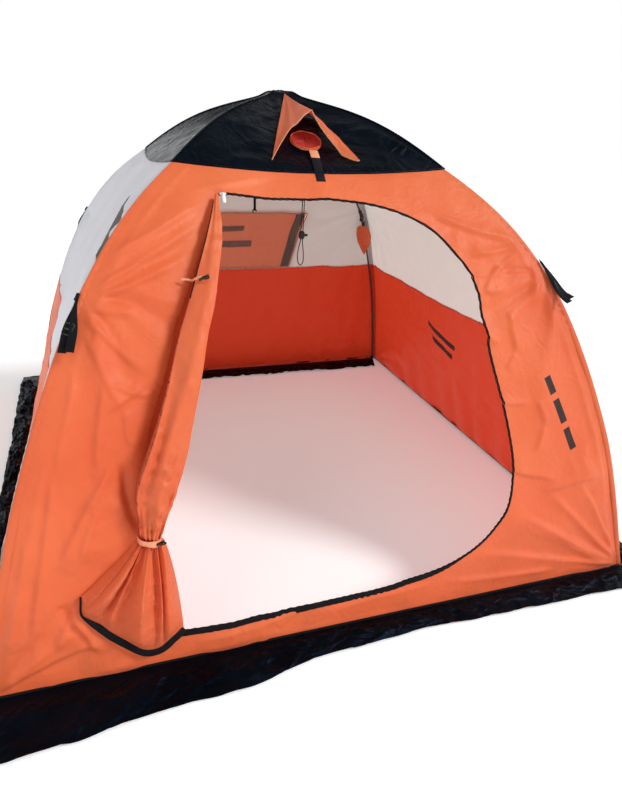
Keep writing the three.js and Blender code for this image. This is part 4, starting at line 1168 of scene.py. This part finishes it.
def flared_points(v, t, lift):
    """Below the lower tie: folds that open towards the hem, t running from the tie down to the hem."""
    middle, half = (float(q) for q in roll_at(DOOR_TIE_Z)[:2])
    last = len(DOOR_HEM_PATH) - 1
    hem_x, hem_z = (np.interp(v * last, np.arange(last + 1), DOOR_HEM_PATH[:, k]) for k in (0, 1))
    start_x = middle + half * (2 * v - 1)
    bow = t ** (1.0 - 0.46 * v)
    lobes = [height * np.exp(-(((v - at - 0.03 * np.sin(3.2 * t + 9 * at)) / wide) ** 2))
             for at, wide, height in FLARE_LOBES]
    big = np.maximum.reduce(lobes)
    small = np.cos(2 * math.pi * (15 * v + 0.3 * np.sin(9 * v)))
    swell = np.sin(math.pi * np.clip(t * 0.93 + 0.07, 0, 1)) ** 0.8 * smoothstep(1.01, 0.84, t)
    edge = np.sqrt(np.clip(1 - (2 * v - 1) ** 6, 0, 1))
    x = start_x + (hem_x - start_x) * bow + 0.012 * t * np.sin(26 * v + 1) * (1 - t) ** 0.7
    z = DOOR_TIE_Z + (hem_z - DOOR_TIE_Z) * t
    out = 0.004 + edge * (0.012 + 0.052 * swell * big + 0.0045 * small * np.exp(-t / 0.16))
    buckled = 0.010 * crumple(x, z, 0.085, 87) + 0.004 * crumple(x, z, 0.035, 89)
    out = out + edge * (0.012 * swell + buckled * np.clip(3 * t, 0, 1) * (1 - 0.85 * t ** 3))
    return at_wall(0, x, s_at(z), np.maximum(out, 0.003) + lift)


def door_points(v, t, lift=0.0):
    """Points of the gathered panel: v across it, t from 0 at its head to 1 at the tie and 2 at its hem."""
    upper = rolled_points(v, DOOR_TOP_Z + (DOOR_TIE_Z - DOOR_TOP_Z) * np.clip(t, 0, 1))
    lower = flared_points(v, np.clip(t - 1, 0, 1), lift)
    share = smoothstep(0.975, 1.06, t)[..., None]
    return upper * (1 - share) + lower * share


def make_door():
    """The open door panel, folded back in layers, tied twice, flaring into folds at its hem."""
    columns = 420
    levels = np.concatenate([np.linspace(0, 1, 110)[:-1], np.linspace(1, 2, 70)])
    v, t = np.meshgrid(np.linspace(0, 1, columns), levels)
    points = door_points(v, t).reshape(-1, 3)
    flat = np.stack([v.ravel() * 0.98, -t.ravel() * 0.6], -1)
    panel = mesh_piece("door_panel_gathered", points, reversed_faces(grid_faces(columns, len(levels))), flat)
    place(panel, ORANGE, "orange_cloth", "canopy", ["door_panel_rolled"])
    v = np.linspace(0, 1, 220)
    hem = door_points(v, np.full(len(v), 1.985), 0.0026)
    normal = wall_normal(0, np.full(len(v), 0.11))
    widths = 0.28 + 0.72 * smoothstep(0.12, 0.34, v)
    tape = swept("door_hem_tape", hem, normal, tape_section(0.019, STRAP_THICK), widths=widths)
    place(tape, WEBBING, "webbing")
    t = np.linspace(0.02, 0.30, 60)
    last_fold = np.full(len(t), 1 - 0.999 / DOOR_LAYERS)
    edge = door_points(last_fold, t)
    normal = wall_normal(0, s_at(DOOR_TOP_Z + (DOOR_TIE_Z - DOOR_TOP_Z) * t))
    zip_edge = swept("door_edge_zip", edge, normal, tape_section(0.003, 0.0018))
    place(zip_edge, WEBBING, "webbing")


def tie_band(name, z, left, right, width, replaces, loop_size):
    """A pale band over the gathered panel with an elastic loop hooked round a toggle at its right end."""
    middle, half, depth = roll_at(z)
    span = np.linspace(0, 1, 44)
    x = left + (right - left) * span
    across = np.clip((x - middle) / (half + 0.003), -1, 1)
    front = 1.4 * depth + depth * 0.55 * (1 - across ** 2) + 0.004
    out = front * np.clip(1 - across ** 8, 0, 1) + 0.0035
    s = s_at(z) + 0.003 * np.sin(5 * span + 1)
    path = at_wall(0, x, s, out)
    normals = wall_normal(0, s) + np.array([1.0, 0, 0]) * (across ** 7)[:, None]
    widths = 1 + 0.18 * np.sin(9 * span + 2)
    band = swept(f"{name}_band", path, normals, tape_section(width, 0.0022), widths=widths)
    end = path[-6] + np.array((0, -0.004, 0))
    bead = end + np.array([(0.013 * t, -0.002, 0.006 * t) for t in np.linspace(-1, 1, 9)])
    swell = [0.45, 0.85, 1, 0.92, 0.86, 0.92, 1, 0.85, 0.45]
    toggle = swept(f"{name}_toggle", bead, [(0, 0, 1)] * 9, round_section(0.0038, 14), widths=swell)
    turns = np.linspace(0, 2 * math.pi, 36, endpoint=False)
    c, n = np.cos(turns), np.sin(turns)
    loop = end + loop_size * np.stack([0.4 + c, -0.25 - 0.25 * n, 0.45 * n], -1)
    elastic = swept(f"{name}_loop", loop, [(0, -1, 0)] * 36, round_section(0.0015, 8), closed=True)
    tie = joined(name, [band, toggle, elastic], [TIE_CORD, NYLON, WEBBING])
    place(tie, None, "webbing", "canopy", replaces)


def zip_slider():
    """Zip slider: a waisted body with a bridge, and a flat pull with a hole hanging from it."""
    low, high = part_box("door_zip_slider")
    x = (low.x + high.x) / 2 - 0.012
    s = float(s_at(high.z - 0.012))
    span = np.linspace(-0.009, 0.009, 9)
    base = float(front_out(x, s)[0]) + 0.001
    level = np.full(9, s)
    waist = [0.7, 0.9, 1, 0.9, 0.8, 0.9, 1, 0.9, 0.7]
    body = wall_strip("slider_body", 0, x + span, level, base + 0.0025, tape_section(0.009, 0.0045, -0.002),
                      widths=waist)
    arch = base + 0.004 + 0.004 * np.sin(np.linspace(0, math.pi, 9))
    bridge = wall_strip("slider_bridge", 0, x + span * 0.5, level, arch, tape_section(0.003, TAPE_THICK))
    down = np.linspace(s - 0.001, s - 0.034, 10)
    lean = base + 0.0075 - 0.0015 * np.linspace(0, 1, 10)
    wide = [0.45, 0.6, 0.8, 1, 1, 1, 1, 1, 0.95, 0.7]
    pull = wall_strip("slider_pull", 0, np.full(10, x), down, lean, tape_section(0.010, 0.0022), widths=wide)
    return joined("zip_slider_and_pull", [body, bridge, pull])


def make_doorway():
    make_zip()
    make_door()
    tie_band("door_tie_upper_cord", 0.985, -0.452, -0.392, 0.007, ["door_tie_upper"], 0.009)
    tie_band("door_tie_lower_band", DOOR_TIE_Z - 0.004, -0.606, -0.549, 0.015, ["door_tie_lower"], 0.012)
    place(zip_slider(), PALE_PLASTIC, "zip_plastic", "door_zip_slider", ["door_zip_slider"])


# ---- window
def make_window():
    flat, triangles = cut_cloth(WINDOW_OUTLINE, [], 0.02)
    away = distance_to(flat, [WINDOW_OUTLINE])
    sag = wall_relief(2, flat[:, 0], flat[:, 1], away) - 0.001
    net = mesh_piece("window_net", at_wall(2, flat[:, 0], flat[:, 1], sag), triangles, flat)
    place(net, NET, "netting", "canopy", ["window_netting"])
    cover = on_cloth([(-FLAP_TOP[0], FLAP_TOP[1]), (-FLAP_BOTTOM[0], FLAP_BOTTOM[1]), FLAP_BOTTOM, FLAP_TOP])
    flat, triangles = cut_cloth(cover, [], 0.012)
    x, s = flat[:, 0], flat[:, 1]
    base = wall_relief(2, x, s, distance_to(flat, [WINDOW_OUTLINE]))
    hang = (s.max() - s) / (s.max() - s.min())
    billow = 0.006 + 0.006 * hang * (0.5 + 0.5 * value_noise(x / 0.16, s / 0.3, 61))
    billow = np.maximum(billow + 0.003 * crumple(x, s, 0.11, 63), 0.003)
    flap = mesh_piece("window_flap_cloth", at_wall(2, x, s, base + billow), triangles, flat)
    place(flap, FLAP, "orange_cloth", "window_flap", ["window_flap"])
    for sign, name in ((-1, "flap_strip_right"), (1, "flap_strip_left")):
        v = np.linspace(0, 1, 40)
        sx = sign * (0.338 - 0.034 * v)
        ss = s.max() - 0.01 - (s.max() - s.min() - 0.02) * v
        reach = wall_relief(2, sx, ss, np.full(40, 0.02)) + 0.0015
        strip = wall_strip(name, 2, sx, ss, reach, tape_section(0.045, STRAP_THICK))
        place(strip, WEBBING, "webbing", "window_flap")
    edge = resampled(WINDOW_OUTLINE, 0.012)
    out = wall_relief(2, *edge.T, np.zeros(len(edge))) - 0.0016
    trim = wall_strip("window_net_binding", 2, *edge.T, out, tape_section(0.006, TAPE_THICK), closed=True)
    place(trim, BINDING, "pale_cloth")


def make_window_tie():
    """Webbing tie above the window with a plastic hook at its end."""
    low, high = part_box("window_tie")
    x, y = (low.x + high.x) / 2, (low.y + high.y) / 2 - 0.014
    z = np.linspace(high.z - 0.004, low.z + 0.006, 26)
    bend = 0.0025 * np.sin((high.z - z) * 60)
    path = np.stack([np.full(26, x), y + bend, z], -1)
    strap = swept("tie_strap", path, [(0, -1, 0)] * 26, tape_section(0.012, STRAP_THICK, -STRAP_THICK / 2))
    turns = np.linspace(-0.3, 1.35 * math.pi, 22)
    bow, rise = 0.009 * np.cos(turns), 0.009 * np.sin(turns)
    hook_path = np.stack([x + bow, np.full(22, y), low.z + 0.004 + rise], -1)
    hook = swept("tie_hook", hook_path, [(0, -1, 0)] * 22, round_section(0.0026, 8))
    tie = joined("window_tie_strap", [strap, hook], [WEBBING, NYLON])
    place(tie, None, "webbing", "window_tie", ["window_tie"])


# ---- roof vent
HOOD_APEX = (0.001, LENGTH - 0.060, 0.006)  # x, distance up the cloth, height above it
HOOD_PEAK = (0.000, LENGTH - 0.345, 0.088)
HOOD_TIPS = {-1: (-0.143, LENGTH - 0.484, 0.005), 1: (0.144, LENGTH - 0.472, 0.005)}


def roof_point(place_on_roof):
    x, s, out = place_on_roof
    point = at_wall(0, x, s, out)
    point[..., 2] += roof_rise(x, s)
    return point


def make_hood():
    """A triangle of cloth sewn down along two edges and propped up in front, open like a dormer."""
    columns, rows = 81, 61
    u, v = np.meshgrid(np.linspace(-1, 1, columns), np.linspace(0, 1, rows))
    apex, peak = np.array(HOOD_APEX), np.array(HOOD_PEAK)
    tips = np.where(u[..., None] < 0, np.array(HOOD_TIPS[-1]), np.array(HOOD_TIPS[1]))
    base = apex + (tips - apex) * v[..., None]
    ridge = apex + (peak - apex) * v[..., None]
    ridge[..., 2] -= 0.006 * np.sin(math.pi * v)
    open_up = (1 - np.abs(u)) ** (1.0 + 0.25 * v)
    spot = base + (ridge - base) * open_up[..., None]
    leaning = np.sin(math.pi * np.abs(u)) * v
    spot[..., 0] -= np.where(u < 0, -0.012, -0.004) * leaning
    spot[..., 1] += np.where(u < 0, 0.040, -0.012) * np.sin(math.pi * np.abs(u)) * v ** 3
    folds = 0.0050 * np.sin(13 * u + 3 * v + 1.6 * value_noise(u * 2, v * 3, 7)) * leaning
    crushed = np.where(u > 0, 0.010, 0.004) * crumple(u * 0.14, v * 0.4, 0.06, 9) * v
    crushed = crushed * (1 - np.abs(u)) * np.abs(u) ** 0.5
    droop = 0.034 * np.sin(math.pi * np.clip(u, 0, 1)) ** 0.8 * smoothstep(0.76, 1.0, v)
    spot[..., 1] -= 0.4 * droop
    spot[..., 2] += folds + crushed - droop
    spot[..., 2] = np.maximum(spot[..., 2], 0.004)
    points = roof_point(spot.reshape(-1, 3).T)
    flat = np.stack([(u * v * 0.2).ravel(), (v * 0.42).ravel()], -1)
    hood = mesh_piece("vent_hood_cloth", points, reversed_faces(grid_faces(columns, rows)), flat)
    place(hood, ORANGE, "orange_cloth", "canopy", ["vent_hood"])
    rim = points.reshape(rows, columns, 3)[-1]
    normals = np.repeat(wall_normal(0, HOOD_PEAK[1])[None], columns, 0)
    # a hem along the mouth, coloured pale orange partly as a real hem tape and partly as a painted highlight
    # along the edge
    hem = swept("vent_hood_hem_and_highlight", rim, normals, tape_section(0.003, 0.005, -0.0025))
    place(hem, TIE_CORD, "orange_cloth")
    top, front, *ends = (roof_point(tuple(np.array([c]) for c in q))[0]
                         for q in (HOOD_APEX, HOOD_PEAK, HOOD_TIPS[-1], HOOD_TIPS[1]))


SLEEVE_MIDDLE = (-0.010, LENGTH - 0.379)
COLLAR_RINGS = 17  # rings of the sleeve's mesh that belong to its orange collar


def make_sleeve():
    """Round sleeve of the vent: a stiff collar outside, its cloth drawn together inside by the cord and
    coloured dark red there as painted shade.
    """
    centre = at_wall(0, SLEEVE_MIDDLE[0], SLEEVE_MIDDLE[1])
    up = wall_normal(0, SLEEVE_MIDDLE[1])
    side = np.array([1.0, 0, 0])
    down = np.cross(up, side)
    profile = [(0.0510, 0.0015), (0.0500, 0.0030), (0.0492, 0.0065), (0.0490, 0.0085), (0.0484, 0.0096),
               (0.0476, 0.0090), (0.0466, 0.0068), (0.0410, 0.0055), (0.0320, 0.0045), (0.0220, 0.0035),
               (0.0120, 0.0030), (0.0030, 0.0028)]
    profile = smooth_path(np.array(profile), 3)
    count = 96
    turns = np.linspace(0, 2 * math.pi, count, endpoint=False)
    points, flat, walked = [], [], 0.0
    for j, (radius, height) in enumerate(profile):
        if j:
            walked += float(np.linalg.norm(profile[j] - profile[j - 1]))
        gather = float(smoothstep(0.044, 0.010, radius))
        ripple = 0.0007 * np.sin(7 * turns + j * 0.2) + gather * 0.0012 * np.sin(14 * turns + 0.5 * j)
        for a, r in zip(turns, ripple):
            outward = side * math.cos(a) + down * math.sin(a)
            points.append(centre + (radius + 0.3 * r) * outward + up * (height + r))
            flat.append((a * 0.046, walked))
    faces = grid_faces(count, len(profile), around=True)
    faces.append(tuple((len(profile) - 1) * count + i for i in range(count)))
    sleeve = mesh_piece("vent_sleeve_cloth", points, faces, flat)
    # the collar takes the orange cloth, the rings inside take the dark red painted shade
    for finish in (ORANGE, SLEEVE_INSIDE_SHADE):
        sleeve.data.materials.append(finish)
    for polygon in sleeve.data.polygons:
        polygon.material_index = int(polygon.index >= count * COLLAR_RINGS)
    place(sleeve, None, "orange_cloth", "canopy", ["vent_sleeve"])


def make_vent_strap():
    """Hook-and-loop strap below the vent, with a pale loop patch at its upper end."""
    x = np.linspace(0.001, -0.006, 26)
    s = np.linspace(LENGTH - 0.430, LENGTH - 0.566, 26)
    lift = 0.0024 + 0.0012 * np.sin(np.linspace(0, 5, 26))
    strap = wall_strip("strap_tape", 0, x, s, lift, tape_section(0.029, STRAP_THICK))
    patch = wall_strip("strap_patch", 0, x[:8], s[:8], lift[:8] + 0.0017, tape_section(0.028, TAPE_THICK))
    both = joined("vent_strap_tape", [strap, patch], [WEBBING, TIE_CORD])
    place(both, None, "webbing", "vent_strap", ["vent_strap"])


# ---- straps and tabs at the corners
def in_leg(k, radius, across, z):
    """World point of one leg's plane: radius from the middle, across it, height."""
    angle = -math.pi / 4 + k * math.pi / 2
    c, n = math.cos(angle), math.sin(angle)
    return np.stack(np.broadcast_arrays(radius * c - across * n, radius * n + across * c, z), -1)


# Guy straps: height of the top, flip of the tails, turn to one wall, drift on to the wall beside.
GUY_STRAPS = {
    "front_right": (1.008, 0.030, -0.8, -0.010), "back_right": (0.985, 0.010, 0.4, 0.012),
    "back_left": (0.985, 0.003, -0.8, -0.034), "front_left": (0.958, 0.004, 0.5, 0.034),
}


def make_guy_strap(k, label):
    """Two tails of webbing through a buckle, sewn to the corner of the canopy at the knee."""
    top, flip, turn, drift = GUY_STRAPS[label]
    s_top = float(s_at(top))
    pieces = []
    for sign, length in ((-1, 0.134), (1, 0.128)):
        run = np.linspace(0, 1, 30)
        s = s_top - length * run
        path, normal = corner_path(k, s[0], s[-1], 30)
        tangent = np.cross(normal[0], path[-1] - path[0])
        tangent /= np.linalg.norm(tangent)
        normal = normal + turn * tangent
        normal /= np.linalg.norm(normal, axis=1)[:, None]
        out = 0.0055 + 0.0030 * np.sin(math.pi * run * 0.9) + 0.001 * sign
        out = out + flip * (1 + 0.15 * sign) * run ** 6
        beside = sign * 0.0118 * smoothstep(0.10, 0.75, run) + drift * run
        tail = path + normal * out[:, None] + tangent * beside[:, None]
        width = 0.30 + 0.70 * smoothstep(0, 0.65, run)
        strap = swept(f"tail_{sign}", tail, normal, tape_section(0.021, 0.0018), widths=width)
        hem_path = tail[-4:] + normal[-4:] * 0.0018
        pieces += [strap, swept(f"tail_hem_{sign}", hem_path, normal[-4:], tape_section(0.021, STRAP_THICK))]
    path, normal = corner_path(k, s_top - 0.066, s_top - 0.092, 9)
    middle, out = path[4], normal[4]
    down = (path[-1] - path[0]) / np.linalg.norm(path[-1] - path[0])
    tangent = np.cross(out, down)
    middle = middle + tangent * drift * 0.6
    for shift in (-0.007, 0.007):
        turns = np.linspace(0, 2 * math.pi, 40, endpoint=False)
        a = 0.0155 * np.sign(np.cos(turns)) * np.abs(np.cos(turns)) ** 0.5
        b = 0.0075 * np.sign(np.sin(turns)) * np.abs(np.sin(turns)) ** 0.5
        ring = middle + out * 0.0095 + tangent * a[:, None] + down * (b + shift)[:, None]
        pieces.append(swept(f"buckle_{shift}", ring, [out] * 40, round_section(0.0021, 8), closed=True))
    patch_path, patch_normal = corner_path(k, s_top - 0.012, s_top + 0.006, 8)
    patch_path = patch_path + patch_normal * 0.0035
    pieces.append(swept("patch", patch_path, patch_normal, tape_section(0.012, 0.002)))
    finishes = [WEBBING] * 4 + [NYLON] * 2 + [WEBBING]
    strap = joined(f"guy_strap_webbing_{label}", pieces, finishes)
    place(strap, None, "webbing", f"guy_strap_{label}", [f"guy_strap_{label}"])


KNEE_CORNER = np.array((0.962, 0.943))  # radius and height where a leg's two rods meet
LEG_DIRECTION = np.array((0.4994, -0.8664))


def make_knee_tab(k, label):
    """A cloth tab that wraps the leg's inner side between the knee and the collar."""
    columns, rows = 33, 41
    u, v = np.meshgrid(np.linspace(-1, 1, columns), np.linspace(0, 1, rows))
    inward = np.array((LEG_DIRECTION[1], -LEG_DIRECTION[0]))
    far = 0.040 + 0.150 * v + 0.050 * (0.5 + 0.5 * u) * v ** 2
    half = 0.010 + 0.032 * np.sin(math.pi * v ** 0.7) ** 0.8 + 0.004 * value_noise(v * 4, 0 * v, k + 3)
    reach = 0.0120 + 0.0160 * (1 - u ** 2) * np.sin(math.pi * v)
    reach = reach + 0.0090 * crumple(u * 0.04, v * 0.15, 0.035, k + 51) * v
    radius = KNEE_CORNER[0] + LEG_DIRECTION[0] * far + inward[0] * reach
    z = KNEE_CORNER[1] + LEG_DIRECTION[1] * far + inward[1] * reach
    points = in_leg(k, radius.ravel(), (half * u).ravel(), z.ravel())
    flat = np.stack([(u * 0.026).ravel(), far.ravel()], -1)
    tab = mesh_piece(f"knee_tab_cloth_{label}", points, grid_faces(columns, rows), flat)
    tab.modifiers.new("cloth", "SOLIDIFY").thickness = 0.0016
    tab = subdivided(tab)
    place(tab, ORANGE, "orange_cloth", f"lower_leg_{label}", [f"knee_tab_{label}"], folds=False)


# ---- frame parts kept from the CAD
FRAME_FINISH = {
    "hub_crown": NYLON, "hub_cover": NYLON, "hub_ring": STEEL, "upper_rod": ROD, "lower_rod": ROD,
    "knee_upper": NYLON, "knee_lower": NYLON, "knee_pin": STEEL, "foot_tip": RUBBER,
}


def finish_frame():
    for name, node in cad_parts.items():
        for start, material in FRAME_FINISH.items():
            if name.startswith(start):
                node.material_slots[0].material = material


# ---- floor and light
def sun_light(name, toward, spread, strength):
    """Even soft light from one direction, spread over an angle in degrees."""
    data = bpy.data.lights.new(name, "SUN")
    data.angle = math.radians(spread)
    data.energy = strength
    light = bpy.data.objects.new(name, data)
    light.rotation_euler = Vector(toward).to_track_quat("Z", "Y").to_euler()
    bpy.context.scene.collection.objects.link(light)


KEY_SUN = ((2.3, -1.5, 2.2), 18, 2.4)  # where it stands, its spread in degrees, its strength
FILL_SUN = ((-2.2, -0.5, 1.7), 60, 0.9)


def make_stage():
    reach, steps = 14.0, 29
    line = np.linspace(-reach, reach, steps)
    x, y = np.meshgrid(line, line)
    points = np.stack([x.ravel(), y.ravel(), np.full(x.size, -0.0005)], -1)
    floor = mesh_piece("floor", points, grid_faces(steps, steps))
    floor.data.materials.append(floor_material())
    world = bpy.data.worlds.new("soft_studio")
    world.use_nodes = True
    nodes, links = world.node_tree.nodes, world.node_tree.links
    direction = nodes.new("ShaderNodeTexCoord")
    height = nodes.new("ShaderNodeSeparateXYZ")
    fall = nodes.new("ShaderNodeMapRange")
    for socket, value in (("From Min", 0.30), ("From Max", 0.62), ("To Min", 1.0), ("To Max", 0.24)):
        fall.inputs[socket].default_value = value
    links.new(direction.outputs["Generated"], height.inputs[0])
    links.new(height.outputs["Z"], fall.inputs["Value"])
    links.new(fall.outputs["Result"], nodes["Background"].inputs["Strength"])
    nodes["Background"].inputs["Color"].default_value = (1, 1, 1, 1)
    bpy.context.scene.world = world
    sun_light("key", *KEY_SUN)
    sun_light("fill", *FILL_SUN)
    bpy.context.scene.view_settings.view_transform = "Standard"


# ---- making everything
make_walls()
make_roof()
make_corner_seams()
make_level_seams()
make_skirt()
make_inner_strip()
make_edge_strips()
make_doorway()
make_window()
make_window_tie()
make_hood()
make_sleeve()
make_vent_strap()
for index, corner in enumerate(LABELS):
    make_guy_strap(index, corner)
    make_knee_tab(index, corner)
finish_frame()
make_stage()
